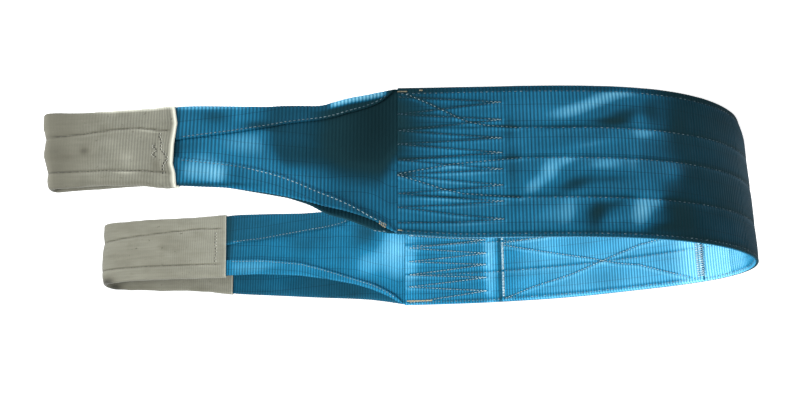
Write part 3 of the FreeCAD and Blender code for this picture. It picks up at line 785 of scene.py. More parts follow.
def load_ply(start, end, side, fine, lines, lap=False):
    """One ply of the load part; lines are sewn on its open face (1 outward, -1 inward)."""
    stations = rib_steps(start, end)
    widths = width_stations(fine)
    s, q = stations[:, None] + 0 * widths, widths + 0 * stations[:, None]
    inset = 1.0 if lap else 0.0
    height = inset + q * (WEB_W - 2 * inset) / WEB_W
    height = height - 7.0 * fall(s, -5, 125) * (q / WEB_W) ** 4
    # ribs sink at the seams and under the sewn lines, and the cloth puffs up between
    seam = np.clip(near_seams(q, 0, 2.0), 0, 1)
    plain = rib_wave(s) * (1 - 0.35 * seam) - 0.55 * seam
    relief = plain
    # painted shade just to one side of each seam and a painted highlight just to the other
    tone = 1.0 - 0.34 * np.clip(near_seams(q, -2.2, 2.4), 0, 1)
    tone = tone + 0.14 * np.clip(near_seams(q, 3.0, 2.6), 0, 1)
    for points in lines:
        distance, above = nearest_line(s, q, points)
        relief = relief - 0.42 * np.exp(-(distance / 1.6) ** 2)
        # painted shade along each sewn line and a painted highlight a little to one side of it
        tone = tone * (1 - 0.46 * np.exp(-((distance + 0.5 * above) / 1.7) ** 2))
        tone = tone * (1 + 0.24 * np.exp(-((distance * above - 4.2) / 2.6) ** 2))
    puff = 0.5 * np.prod([1 - bell(q, z, 9.0) for z in SEAM_Z], axis=0)
    puff = (puff + 0.35 * mottle(s, q, 13, 24, 30)) * (0.5 if lap else 1.0)
    thick = taper(q)
    shown = relief + puff * np.clip(1 - near_seams(q, 0, 5.0), 0, 1)
    shown = np.maximum(shown, -thick * 0.35)
    depth = 0.5 * (0.9 * mottle(s, q, 11, 70, 46) + 0.5 * mottle(s, q, 12, 31, 22))
    if lap:
        depth = depth - 5.15
        hidden = 0 * shown
    else:
        swell = np.clip(swells(s - 14, q), -1, 1.2)
        depth = 1.7 * side + depth + 1.6 * swell * rise(s, 175, 215) * fall(s, 450, 500)
        hidden = np.minimum(np.maximum(plain, -thick * 0.35), 0.0) * 0.2
    tone = tone * (1 + 0.10 * mottle(s, q, 21, 60, 35))
    tone = tone * (outward_tone if side > 0 else inward_tone)(s, q)
    faces = (shown, hidden) if side > 0 else (hidden, shown)
    return Strip(body, 1.0, stations, stations, depth, height, widths, thick, faces, tone,
                 lean=bend_lean(s, q))


# ---------------------------------------------------------------- load part: pieces
PARTS = ["near_leg", "bight_1", "bight_2", "bight_3", "bight_4", "bight_5", "far_leg"]
FLEX_ENDS = [365, 475, 580, 675, 765, 857, 953]     # each pair bounds the flex between parts
SPANS = ["near_leg_root", "bend_1", "bend_2", "bend_3", "bend_4", "bend_5", "bend_6",
         "far_leg_root"]
REPLACED = PARTS[:6] + [None] + PARTS[6:]           # CAD part that each span stands for
CUTS = [8.25] + [valley(s) for s in [210, *FLEX_ENDS[1:6], 1150]] + [1427.25]
LAP_START, LAP_STOP = valley(830.0), valley(1229.0)
LAP_NODES = {"bend_6": ["bight_5_lap_ply"], "far_leg_root": ["far_leg_lap_ply"]}
SEWN_NODES = {"near_leg_root": ["near_splice_zigzag_thread"],
              "far_leg_root": ["far_splice_zigzag_thread", "far_lap_end_thread",
                               "far_lap_cross_thread"]}
ZIG_THREAD = dict(pitch=7.0, length=5.4, width=1.35, lift=0.05)
NEAR_ZIG_TONE = ([8, 22, 40, 135, 147, 155, 168], [0.14, 0.10, 0.04, 0.06, 0.35, 1.0, 1.0])
FAR_OUT_TONE = ([END - 168, END - 150, END - 130, END - 30, END - 8], [0.98, 0.85, 0.3, 0.2, 0.6])
FAR_IN_TONE = ([END - 176, END - 160, END - 140, END - 40, END - 17],
               [0.95, 0.75, 0.45, 0.45, 0.8])
# Bar tacks as (start, end, low, high, count, seed)
NEAR_TACKS = [(8.5, 23.0, 5.4, 7.2, 9, 81), (42.0, 47.0, 3.5, 6.0, 3, 82),
              (9.0, 15.0, 233.0, 235.0, 4, 84)]
FAR_TACKS = [(END - 60.0, END - 12.0, 2.5, 5.0, 22, 85),
             (END - 64.0, END - 12.0, 231.0, 233.6, 24, 83)]


def span_hold(index):
    """The leg that carries a root, or the blend across a bend's flex."""
    if index == 0:
        return ("near_leg",)
    if index == 7:
        return ("far_leg",)
    ends = []
    for along in FLEX_ENDS[index - 1:index + 1]:
        x, y = body.at(along)[:2]
        ends.append((float(x) * MM, float(y) * MM, HALF_W))
    return (PARTS[index - 1], PARTS[index], *ends)


def sew_seams(sewn, index, outer, inner, lap, lap_from, lap_to):
    """Lengthwise rows on both open faces; the lap takes the inward rows where it lies."""
    start, end = CUTS[index], CUTS[index + 1]
    near, far = index == 0, index == 7
    runs = [(inner, start + 1, end)]
    if lap:
        runs = [(inner, start + 1, lap_from), (lap, lap_from + 3, lap_to - 6),
                (inner, lap_to + 3, end)]
    for n, z in enumerate(SEAM_Z):
        middle = n in (1, 2, 3)
        first = 190.0 if near and middle else start + 3
        last = min(end, 1240.0) if far and middle else end
        tone = 0.4 if far else (0.30 if n else 0.34)
        sewn.row(outer, [(first, z), (last, z)], 1, tone=tone, length=4.2, width=1.0,
                 height=0.7, lift=0.2, seed=100 + n + 10 * index)
        for ply, first, last in runs:
            if last - first < 8:
                continue
            last = min(last, END - 22) if far else last
            sewn.row(ply, [(first, z), (last, z)], -1, tone=0.36, length=4.6, width=1.1,
                     height=0.7, lift=0.2, seed=300 + n + 10 * index)


def sew_near_root(sewn, outer, inner, span):
    sewn.row(outer, NEAR_ZIG, 1, pitch=6.4, length=4.2, width=0.95, lift=-0.1,
             tone=NEAR_ZIG_TONE, seed=41)
    sewn.row(inner, NEAR_ZIG, -1, **ZIG_THREAD, tone=NEAR_ZIG_TONE, seed=42)
    for n, line in enumerate(DIAGONALS):
        sewn.row(outer, line, 1, pitch=6.7, length=3.8, width=1.0,
                 tone=([0, 130, 192], [0.85, 0.55, 0.35]), span=span, seed=43 + n)


def sew_far_root(sewn, outer, inner, lap):
    sewn.row(outer, FAR_ZIG_OUT, 1, **ZIG_THREAD, tone=FAR_OUT_TONE, seed=46)
    sewn.row(inner, FAR_ZIG_IN, -1, **ZIG_THREAD, tone=FAR_IN_TONE, seed=47)
    # overcast stitches over the lap's cut end
    for low, high in ((9.0, 116.0), (120.0, 177.0), (181.0, 231.0)):
        sewn.row(lap, [(LAP_STOP - 4.0, low), (LAP_STOP - 4.0, high)], -1, pitch=3.0,
                 length=2.6, width=5.0, height=1.1, lift=0.25, tone=0.95, seed=int(low))


def sew_lap(sewn, lap, start, end):
    for n, line in enumerate(LAP_CROSS):
        sewn.row(lap, line, -1, pitch=6.4, length=4.4, width=1.25, lift=0.1, tone=0.75,
                 span=(start, end), seed=60 + n)
    if start == LAP_START:
        # the lap's other end: overcast too, in two rows
        for n, (shift, width) in enumerate(((0.6, 10.0), (8.2, 6.0))):
            line = [(LAP_START + shift, 7.0 + 1.9 * n), (LAP_START + shift, 233.0)]
            sewn.row(lap, line, -1, pitch=3.9, length=2.3, width=width, height=1.1,
                     lift=0.3 + 0.1 * n, tone=0.98, seed=71 + n)


def build_span(index):
    name, cad = SPANS[index], REPLACED[index]
    start, end = CUTS[index], CUTS[index + 1]
    near, far = index == 0, index == 7
    fine = near or far
    hold = span_hold(index)
    outer_lines = [NEAR_ZIG] + DIAGONALS if near else [FAR_ZIG_OUT] if far else []
    inner_lines = [NEAR_ZIG] if near else [FAR_ZIG_IN] if far else []
    plies = []
    for kind, side, lines in (("_outer", 1, outer_lines), ("_inner", -1, inner_lines)):
        ply = load_ply(start, end, side, fine, lines)
        attach(ply.mesh(name + kind, start, end), hold,
               [cad + kind + "_ply"] if cad else [])
        plies.append(ply)
    outer, inner = plies
    lap = None
    lap_from, lap_to = max(start, LAP_START), min(end, LAP_STOP)
    if lap_to > lap_from:
        lap = load_ply(lap_from, lap_to, -1, True, LAP_CROSS, lap=True)
        attach(lap.mesh(name + "_lap", lap_from, lap_to), hold,
               LAP_NODES.get(name, []))
    sewn = Stitches()
    sew_seams(sewn, index, outer, inner, lap, lap_from, lap_to)
    if near:
        sew_near_root(sewn, outer, inner, (start, end))
    if far:
        sew_far_root(sewn, outer, inner, lap)
    if lap:
        sew_lap(sewn, lap, lap_from, lap_to)
    attach(sewn.mesh(name + "_stitches", THREAD), hold,
           [cad + "_seam_threads"] + SEWN_NODES.get(name, []) if cad else [])
    if near or far:
        tacks = Stitches()
        for first, last, low, high, count, seed in NEAR_TACKS if near else FAR_TACKS:
            tacks.block(outer if near else inner, first, last, low, high, 1 if near else -1,
                        count=count, seed=seed)
        attach(tacks.mesh(name + "_tacks", TACK_THREAD), hold,
               ["near_corner_tacks" if near else "far_corner_tacks"])


for span_index in range(len(SPANS)):
    build_span(span_index)

# ---------------------------------------------------------------- eyes: necks of folded webbing
# Outline of each neck: (drawing X, lower fold, upper fold, lower selvedge, upper selvedge)
NEAR_OUTER = [
    (-12, 0, 232.9, 0.5, 232.4), (3, 0.2, 232.6, 1, 232), (12, 3.0, 229.5, 8, 222),
    (23, 6.0, 222.5, 20, 214), (35, 9.0, 214.5, 28, 208.0), (53, 14.5, 207.8, 36, 200.5),
    (68, 18.0, 203.4, 41, 192.0), (82, 21.5, 199.6, 45.5, 185.5), (98, 26.5, 196.5, 52, 178.5),
    (112, 32.0, 194.0, 56, 173.5), (126, 34.8, 190.0, 59, 168.5),
    (150, 35.2, 183.8, 62.5, 157.5), (178, 35.8, 178.2, 67, 147.0),
    (199, 38.0, 174.6, 72, 141.0), (238, 38.6, 169.8, 79, 132.0), (268, 38.6, 165.8, 84, 128),
    (300, 38.2, 164.4, 89, 125.0), (333, 39.2, 164.4, 94, 121), (348, 41.6, 163.8, 96, 120),
    (390, 45.0, 162.5, 100, 119)]
NEAR_INNER = [
    (-12, 0, 232.9, 0.5, 232.4), (3, 0.2, 232.6, 1, 232), (12, 2.4, 231.6, 5, 228),
    (35, 8.2, 227.4, 18, 222), (50, 11.5, 221.2, 31, 213), (68, 14.5, 213.8, 38, 203),
    (80, 16.3, 209.0, 44, 197), (98, 19.5, 205.0, 50, 188), (108, 22.3, 202, 53, 184),
    (118, 27.5, 197.5, 55, 180), (134, 33, 188.0, 60, 171), (168, 37.5, 177.0, 66, 155),
    (208, 40, 170.0, 75, 142), (262, 41, 161.5, 84, 130), (333, 43, 159, 94, 121),
    (390, 47, 159.0, 100, 119)]
FAR_INNER = [
    (-26, 0, 240, 0.5, 239.5), (-10, 0.5, 239.5, 1.5, 238.5), (0, 3, 236.5, 7, 229),
    (24, 9, 222.5, 21, 213), (57, 20, 208.9, 36, 197), (89, 30, 199.3, 57, 188),
    (122, 40, 193.6, 76, 178), (154, 48, 188.4, 84, 168.5), (203, 52.5, 182.8, 94, 156.5),
    (284, 55.0, 181.2, 111, 150.7), (332, 56.8, 183.2, 117, 151.8),
    (350, 58.8, 184.0, 121, 152.2), (362, 61.0, 184.6, 122, 152.2), (420, 66.0, 186.0, 126, 152)]
FAR_OUTER = [
    (-26, 0, 240, 0.5, 239.5), (-10, 0.5, 239.5, 1.5, 238.5), (0, 3, 236, 6, 231),
    (24, 8, 231.5, 14, 224), (60, 14, 226, 27, 218), (100, 24, 222.5, 40, 210),
    (130, 30, 220.5, 52, 203), (200, 44, 215, 78, 186), (270, 56, 209.5, 100, 169),
    (340, 63.5, 204.5, 119, 160), (356, 65.8, 202.0, 121, 158), (420, 68, 194.0, 126, 152)]
# Painted highlights and shade of the near neck's swells and hollows: (X, Z, half length, half
# height, brightness)
NECK_PAINTED_LIGHT = [
    (283, 57, 24, 13, -0.32), (246, 52, 11, 16, 0.25), (216, 70, 26, 7, -0.45),
    (236, 98, 34, 19, 0.50), (322, 103, 17, 13, -0.28), (341, 100, 9, 70, -0.45),
    (290, 141, 26, 16, 0.95), (272, 147, 11, 13, 0.85), (300, 118, 26, 9, 0.25),
    (312, 140, 8, 12, 0.4), (243, 152, 13, 14, -0.18), (232, 128, 16, 6, 0.15),
    (300, 41, 60, 3.5, 1.2), (300, 163, 80, 2.5, -0.6)]
NECK_START = -8.25              # the necks begin a little inside the load part
FLAP_PTS, FOLD_STEPS, BASE_PTS = 13, 8, 44      # grid points over a neck's section
SELVEDGE_DEPTH = 3.2            # depth of a folded selvedge above the base
# Z of the near outer neck's lower fold by drawing X, where a painted highlight runs
LOWER_FOLD_Z = ([3, 12, 23, 35, 53, 78, 98, 112, 126, 178, 333],
              [0, 3, 6, 9, 14.5, 20.5, 26.5, 32, 34.8, 35.8, 39.2])


# Tones of the necks, mostly painted light and shade, from drawing X, Z and flap (1 on the folded
# flaps, 0 on the base)
def near_outer_tone(x, z, flap):
    cloth = 1 + 0.10 * mottle(x, z, 31, 50, 30)
    # painted highlights and shade of the neck's swells and hollows
    for mid_x, mid_z, length, height, gain in NECK_PAINTED_LIGHT:
        cloth = cloth + gain * np.exp(-((x - mid_x) / length) ** 2 - ((z - mid_z) / height) ** 2)
    fold_z = np.interp(x, *LOWER_FOLD_Z)
    root = fall(x + 0.55 * np.maximum(z - 96, 0), 186, 226) * rise(x, -22, 9)
    # base: deep shade towards the root, darkest low down
    shade_z = z + 32 * fall(x, 2, 34)
    shade = root * (0.82 - 0.50 * rise(shade_z, 112, 164)) * (0.80 + 0.20 * bell(x, 45, 75))
    base = cloth * (1 - shade) * (1 + 0.36 * bell(x, 2, 42) * rise(shade_z, 134, 172))
    # painted shade in a patch near the root, low down, and painted light further from the root
    base = base * (1 - 0.62 * bell(x, 34, 36) * bell(z, 62, 62))
    base = base * (1 + 0.55 * rise(x, 80, 150) * root)
    # lower flap: painted shade towards the root, with a painted highlight along the fold near the
    # root
    fold_highlight = bell(z, fold_z + 4.4, 4.2) * rise(x, 16, 34) * fall(x, 98, 112)
    low = cloth * (0.92 - 0.34 * root)
    low = low * (1 - 0.50 * root * rise(z - fold_z, 8, 12) * fall(x, 100, 150))
    low = low * (1 - 0.55 * bell(x, 12, 14)) + 2.4 * fold_highlight
    # upper flap: bright in the middle, with painted shade towards the root
    high = cloth * (1.02 - 0.30 * root * fall(x, 60, 190))
    high = high * (1 - 0.08 * bell(x, 45, 40)) * (1 + 0.24 * bell(x, 2, 24))
    mix = rise(flap, 0.25, 0.85)
    return base * (1 - mix) + np.where(z < 110, low, high) * mix


def near_inner_tone(x, z, flap):
    # painted shade: the inner ply shows only in the outer ply's shade, lighter towards the mouth
    return 0.42 + 0.05 * mottle(x, z, 32, 50, 30) + 0.3 * rise(x, 200, 280)


def far_inner_tone(x, z, flap):
    cloth = 1 + 0.10 * mottle(x, z, 33, 50, 30)
    # painted sheen near the root and along the upper flap; darker on the lower flap, in a band at X
    # 70 and just before the sleeve
    sheen = bell(x, 10, 34) * bell(z, 128, 52) + 0.42 * bell(x, 66, 26) * bell(z, 158, 34)
    base = 0.80 + 1.30 * sheen + 0.10 * bell(x, 120, 50)
    high = 1.06 + 0.30 * bell(x, 300, 60) * bell(z, 165, 12) + 0.6 * sheen
    mix = rise(flap, 0.25, 0.85)
    tone = cloth * (base * (1 - mix) + np.where(z < 115, 0.68, high) * mix)
    return tone * (1 - 0.38 * bell(x, 70, 36) * bell(z, 92, 28)) * (1 - 0.3 * bell(x, 350, 8))


def far_outer_tone(x, z, flap):
    # painted shade: this ply is seen only inside the loop, in shade
    return 0.63 + 0.06 * mottle(x, z, 34, 50, 30) + 0.12 * bell(x, 260, 60)


# Fold radii are (least, extra, X of the extra, its width), lower then upper
EVEN_FOLD = (1.7, 0.0, 0.0, 1.0)
FAR_FOLDS = ((1.8, 0.6, 120.0, 70.0), (1.8, 1.6, 40.0, 40.0))
# Each eye: plies are (outline, tone, fold radii) of the inner, then the outer ply;
# pivots in metres; lengths cut and tuck_x bound the reach that goes into the sleeve
EYES = [
    Spec(tag="near", leg="near_leg", loop=near_loop, side=1.0, seed=51,
         plies=((NEAR_INNER, near_inner_tone, (EVEN_FOLD, EVEN_FOLD)),
                (NEAR_OUTER, near_outer_tone, ((1.7, 3.0, 66.0, 34.0), (1.7, 0.8, 100.0, 60.0)))),
         cut=valley(130), tuck_x=365.0, mouth_x=336.0, sewn_from=16.0,
         root_pivot=(0.000798, -0.307577), inner_pivot=(0.263734, -0.3107),
         outer_pivot=(0.263734, -0.324522)),
    Spec(tag="far", leg="far_leg", loop=far_loop, side=-1.0, seed=61,
         plies=((FAR_INNER, far_inner_tone, FAR_FOLDS), (FAR_OUTER, far_outer_tone, FAR_FOLDS)),
         cut=valley(150), tuck_x=388.0, mouth_x=353.0, sewn_from=6.0,
         root_pivot=(-0.013687, 0.261095), inner_pivot=(0.29478, 0.235956),
         outer_pivot=(0.29478, 0.315725))]


def fold(edge, selvedge, radius, half_thick, sign):
    """Section of one flap from its selvedge round the fold; sign is 1 for the lower one.

    Returns depths, heights, distances from the selvedge, then the height and the
    distance at which the flat base starts.
    """
    reach = max(0.05, sign * (selvedge - edge))
    turn = math.pi * min(1.0, reach / (radius + half_thick + 3.0))
    flat = max(0.02, reach - radius - half_thick)
    if turn < math.pi:
        flat = min(flat, 0.3 * reach)
    rim = half_thick * min(1.0, 0.25 + reach / 6.0)
    centre = edge + sign * (radius * math.sin(min(turn, math.pi / 2)) + rim)
    # part of the flat: 1 at the selvedge, with close points there, 0 at the fold
    part = np.concatenate([[1.0, 1 - 0.5 / max(flat, 2), 1 - 1.2 / max(flat, 3)],
                           np.linspace(1 - 2.4 / max(flat, 6), 0, FLAP_PTS - 3)])
    depth = radius * (1 - math.cos(turn)) + math.sin(turn) * flat * part
    if turn > 3.0:
        drop = (1 - (1 - part) ** 1.6) * min(1.0, flat / 12.0)
        depth = depth + (SELVEDGE_DEPTH - 2 * radius) * drop
    height = centre - sign * radius * math.sin(turn) - sign * math.cos(turn) * flat * part
    angles = np.linspace(turn, 0, FOLD_STEPS + 1)[1:-1]
    return (np.concatenate([depth, radius * (1 - np.cos(angles))]),
            np.concatenate([height, centre - sign * radius * np.sin(angles)]),
            np.concatenate([flat * (1 - part), flat + radius * (turn - angles)]),
            centre, flat + radius * turn)


def neck_strip(eye, inner, reach):
    """Folded ply of a neck, and the drawing X of its stations."""
    steps = rib_steps(NECK_START, reach)
    stations = steps if inner else eye.loop.length - steps[::-1]
    cloth_u = stations if inner else eye.loop.length - stations
    x = eye.loop.at(stations)[0] + ORIGIN[0]
    outline, tone, folds = eye.plies[0 if inner else 1]
    outline = np.array(outline, float)
    low, high, low_selvedge, high_selvedge = (
        smooth(np.interp(x, outline[:, 0], outline[:, k]), 10) for k in (1, 2, 3, 4))
    radii = [least + extra * bell(x, centre, width) for least, extra, centre, width in folds]
    thick = 3.0 + 0.2 * fall(x, 0, 40)
    depths, heights, widths = [], [], []
    for i in range(len(stations)):
        half = thick[i] / 2
        depth0, height0, width0, base0, run0 = fold(low[i], low_selvedge[i], radii[0][i], half, 1.0)
        depth1, height1, width1, base1, run1 = fold(high[i], high_selvedge[i], radii[1][i], half,
                                                    -1.0)
        base = np.linspace(base0, base1, BASE_PTS)
        total = run0 + (base1 - base0) + run1
        depths.append(np.concatenate([depth0, np.zeros(BASE_PTS), depth1[::-1]]))
        heights.append(np.concatenate([height0, base, height1[::-1]]))
        width = np.concatenate([width0, run0 + base - base0, (total - width1)[::-1]])
        widths.append(width * WEB_W / total)
    depth, height, width = map(np.array, (depths, heights, widths))
    flap = np.concatenate([np.ones(FLAP_PTS), np.linspace(1, 0, FOLD_STEPS + 1)[1:-1]])
    flap = np.concatenate([flap, np.zeros(BASE_PTS), flap[::-1]]) + 0 * height
    u = np.broadcast_to(cloth_u[:, None], depth.shape)
    # uneven cloth, which follows the load part's own unevenness at the root
    away = rise(x, 10, 60)[:, None]
    seed = eye.seed + (0 if inner else 3)
    uneven = 0.9 * mottle(u, height, seed, 60, 40) + 0.4 * mottle(u, height, seed + 1, 26, 30)
    depth = depth + away * uneven + (1 - away) * 0.45 * mottle(u, height, 11, 70, 46)
    ply_thick = np.minimum(taper(width), thick[:, None])
    ribs = np.maximum(rib_wave(u), -ply_thick * 0.3)
    strip = Strip(eye.loop, eye.side, stations, cloth_u, depth, height, width, ply_thick,
                  (ribs * (1 - 0.85 * flap), ribs), tone(x[:, None] + 0 * height, height, flap))
    return strip, x


def flap_line(strip, x, upper, offset, start_x, end_x):
    """Line that follows a folded selvedge at a fixed distance, as (along, across)."""
    return [(strip.stations[i], strip.widths[i, -1] - offset if upper else offset)
            for i in range(0, len(x), 4) if start_x <= x[i] <= end_x]


# Thread tones of the near outer neck's lower and upper flap rows, and of all others: (X, tone)
NEAR_FLAP_TONES = [
    [(16, 0.25), (60, 0.3), (90, 0.55), (120, 0.6), (150, 0.28), (260, 0.45)],
    [(16, 0.4), (36, 0.7), (45, 1.0), (120, 1.0), (215, 0.95), (235, 0.35), (330, 0.3)]]
FLAP_TONE = [(0, 0.5), (330, 0.42)]


def by_station(strip, x, tones):
    """Tone table by X turned into (stations, values)."""
    order = slice(None, None, 1 if x[0] < x[-1] else -1)
    pairs = ((float(np.interp(at_x, x[order], strip.stations[order])), v) for at_x, v in tones)
    return tuple(zip(*sorted(pairs)))


def build_neck(eye, inner):
    tag, cut, end = eye.tag, eye.cut, eye.loop.length
    kind = "inner" if inner else "outer"
    piece = "%s_eye_%s" % (tag, kind)
    neck, tip = piece + "_neck", piece + "_tip"
    if inner:
        reach = valley(eye.loop.where_x(eye.tuck_x))
        x, y = eye.root_pivot
        root_hold = (eye.leg, neck, (x - 0.0082, y, HALF_W), (x + 0.014, y, HALF_W))
        x, y = eye.inner_pivot
        reach_hold = (neck, tip, (x - 0.030, y, HALF_W), (x + 0.030, y, HALF_W))
        bounds = ((NECK_START, cut), (cut, reach))
    else:
        reach = valley(end - eye.loop.where_x(eye.tuck_x, first=False))
        root_hold = (neck,)
        x, y = eye.outer_pivot
        reach_hold = (tip, neck, (x + 0.030, y, HALF_W), (x - 0.030, y, HALF_W))
        bounds = ((end - cut, end - NECK_START), (end - reach, end - cut))
    strip, strip_x = neck_strip(eye, inner, reach)
    worn = tag == "near" and not inner
    seed = eye.seed + (0 if inner else 3)
    for suffix, span, hold, node in (("_root", bounds[0], root_hold, neck),
                                     ("_reach", bounds[1], reach_hold, tip)):
        attach(strip.mesh(piece + suffix, *span), hold, [node + "_web"])
        sewn = Stitches()
        for n in range(2):
            line = flap_line(strip, strip_x, n == 1, 4.2, eye.sewn_from, eye.mouth_x - 8)
            tones = NEAR_FLAP_TONES[n] if worn else FLAP_TONE
            sewn.row(strip, line, -1, pitch=6.5, length=4.4, width=1.2, height=0.8, lift=0.1,
                     tone=by_station(strip, strip_x, tones), span=span, seed=seed + n)
        attach(sewn.mesh(piece + suffix + "_stitches", THREAD), hold,
               [neck + "_thread"] if suffix == "_root" else [])
        if worn and suffix == "_root":
            tack = Stitches()
            line = flap_line(strip, strip_x, True, 6.5, 20.0, 36.0)
            for n in range(3):
                shifted = [(along, across + 1.6 * (n - 1)) for along, across in line]
                tack.row(strip, shifted, -1, pitch=2.6, length=2.4, width=1.8, height=1.0,
                         lift=0.2, tone=0.85, seed=88 + n)
            attach(tack.mesh("near_eye_outer_root_tack", TACK_THREAD), hold)


for one_eye in EYES:
    build_neck(one_eye, inner=True)
    build_neck(one_eye, inner=False)

# ---------------------------------------------------------------- eyes: wear sleeves
# low, high, furrows: Z of the edges and sewn furrows by drawing X; high_inner, high_outer:
# added to high on the loop's first and second half. tip_shift and mouth_shift: X shift by Z,
# tip_range: X over which the first sets in. closing: the sewn line near each mouth.
SLEEVES = [
    Spec(low=([333, 347, 374, 426, 478, 539], [38.6, 39.2, 41.8, 46.0, 49.6, 50.0]),
         high=([335, 352, 366, 379, 420, 461, 516, 540],
               [167.6, 167.8, 168.0, 164.8, 165.2, 166.6, 170.0, 171.6]),
         high_inner=([333, 385, 450], [-5.0, -5.0, 0]), high_outer=([0], [0]),
         furrows=(([333, 363, 396, 430, 476, 533], [80, 79, 75.3, 78.3, 85.4, 91.7]),
                  ([333, 391, 433, 476, 522], [146.5, 142.4, 142.4, 144.6, 146.2])),
         tip_shift=([42, 54.8, 75.28, 90.64, 118.8, 131.6, 141.84, 157.2, 170],
                    [4, 2.5, 1.0, -3.5, -5.0, -8.5, -11.5, -13.5, -16]), tip_range=(415, 545),
         mouth_shift=([42, 68, 101, 132, 146, 171], [5.5, 0.5, 3.5, 3.5, -1.0, -4.0]),
         seed=71, tone=1.0, tip_dark=0.50, rim_tone=1.62, rim_width=4.6,
         closing=Spec(inset=17, low=82.0, high=149.0, sway=5.0, pitch=5.2, length=3.4),
         blend=((0.52, -0.317, 0.106), (0.52, -0.323, 0.106))),
    Spec(low=([353, 380, 420, 560, 620], [56.5, 58.5, 62.5, 66.5, 66.0]),
         high=([353, 380, 420, 560, 620], [188, 189.5, 190.5, 193.0, 195.0]),
         high_inner=([0], [0]),
         high_outer=([353, 375, 400, 450, 560, 600, 615], [18, 15, 10, 6, 4, 3, 0]),
         furrows=(([353, 365, 414, 605], [87, 87.1, 88.2, 107.2]),
                  ([353, 374, 599], [161, 161.5, 166.7])),
         tip_shift=([66, 90, 107, 130, 166, 191], [8, 6, 3.5, 5.0, 3.5, -1.0]),
         tip_range=(480, 620), mouth_shift=([62, 125, 188], [4.0, 1.5, -1.0]),
         seed=75, tone=0.91, tip_dark=0.14, rim_tone=1.13, rim_width=3.0,
         closing=Spec(inset=22, low=94.0, high=158.0, sway=0.8, pitch=6.3, length=2.9),
         blend=((0.590, 0.265, 0.127), (0.590, 0.315, 0.127)))]
FACE_PTS, EDGE_PTS = 46, 9      # grid points over one flat face and one round edge
TUBE_MID, TUBE_HALF = 1.5, 5.1  # middle depth and half depth of the tube
LINING = 1.9                    # inset of the inner skin


def tube_ring(low, high, inset, flare):
    """Depths and heights round the tube: outward face, upper edge, inward face, lower edge."""
    half = TUBE_HALF - inset + flare
    radius = half * 0.96
    bottom, top = low + inset - flare * 0.25, high - inset + flare * 0.25
    flat = np.linspace(bottom + radius, top - radius, FACE_PTS)
    angle = np.linspace(0, np.pi, EDGE_PTS + 2)[1:-1]
    cos, sin = np.cos(angle), radius * np.sin(angle)
    depth = np.concatenate([np.full(FACE_PTS, half), half * cos, np.full(FACE_PTS, -half),
                            -half * cos])
    height = np.concatenate([flat, top - radius + sin, flat[::-1], bottom + radius - sin])
    return TUBE_MID + depth, height


def sleeve_tone(eye, spec, x, z, u, to_mouth, low, high, furrow0, furrow1, fade, outward):
    near = eye.tag == "near"
    # painted shade in the sewn furrows, painted highlight on the cloth just above each
    groove = np.clip(bell(z, furrow0 - 0.4, 1.25) + bell(z, furrow1 - 0.4, 1.25), 0, 1)
    crest = bell(z, furrow0 + 3.2, 2.2) + bell(z, furrow1 + 3.2, 2.2)
    tone = (spec.tone - 0.52 * groove * fade) * (1 + 0.12 * crest * fade)
    tone = tone * (1 - spec.tip_dark * rise(x, 400, 560))
    tone = tone * (1 + 0.10 * mottle(u, z, spec.seed + 2, 30, 20))
    if near:
        # painted shade along the upper edge, a painted highlight along the lower edge, and two dark
        # marks, the one at X 362 painted shade
        tone = tone * (1 - 0.28 * bell(z, high - 2, 7) * bell(x, 395, 45))
        tone = tone + 0.55 * fall(z, low + 0.5, low + 8) * fall(x, 430, 500)
        tone = tone * (1 - 0.45 * bell(z, 112, 6) * bell(x, 474, 7) * outward)
        tone = tone * (1 - 0.3 * bell(z, 134, 11) * bell(x, 362, 7))
    rim = np.exp(-(to_mouth / spec.rim_width) ** 2)
    tone = tone * (1 - rim) + rim * spec.rim_tone
    if not near:
        # dark upper corner at the tip
        tone = tone * (1 - 0.75 * bell(z, high - 3, 9) * bell(x, 596, 15))
    return tone


def sew_sleeve(eye, spec, face, start, end, furrows):
    sewn = Stitches()
    stations, middle, line = face.stations, (start + end) / 2, spec.closing
    near = eye.tag == "near"
    for half, sign in ((0, 1), (1, -1)):
        first, last = (start + 12, middle - 16) if half == 0 else (middle + 16, end - 12)
        along = np.linspace(first, last, 40)
        for furrow in furrows:
            sewn.row(face, list(zip(along, np.interp(along, stations, furrow))), 1, pitch=6.0,
                     length=4.6, width=1.1, height=0.6, lift=-0.1, tone=0.16, seed=90 + half)
        # wavy line that closes the sleeve near its mouth: a dark row beside a pale one
        mouth = start + line.inset if half == 0 else end - line.inset
        z = np.linspace(line.low, line.high, 41)
        wave = line.sway * np.sin((z - line.low) / 9.5)
        wave = wave + 0.5 * line.sway * np.sin((z - line.low) / 4.1 + 1.0)
        if near:
            wave = wave + 5.0 * bell(z, line.low, 14)
        for shift, tone, width in ((0.0, 0.02, 2.1), (-2.6, 0.9, 1.7)):
            sewn.row(face, list(zip(mouth + sign * (wave + shift), z)), 1, pitch=line.pitch,
                     length=line.length, width=width, height=0.9, lift=0.05, tone=tone,
                     seed=97 + half)
        if near:
            # short second line, further from the mouth
            z = np.linspace(line.low + 20, line.low + 40, 9)
            wave = 13 + 3.5 * np.sin(np.arange(9) * 1.3)
            for shift, tone in ((0.0, 0.02), (2.0, 0.8)):
                sewn.row(face, list(zip(mouth + sign * (wave + shift), z)), 1, pitch=4.4,
                         length=3.0, width=1.2, height=0.7, lift=0.05, tone=tone, seed=99 + half)
    return sewn.mesh(eye.tag + "_eye_sleeve_stitches", SLEEVE_THREAD)


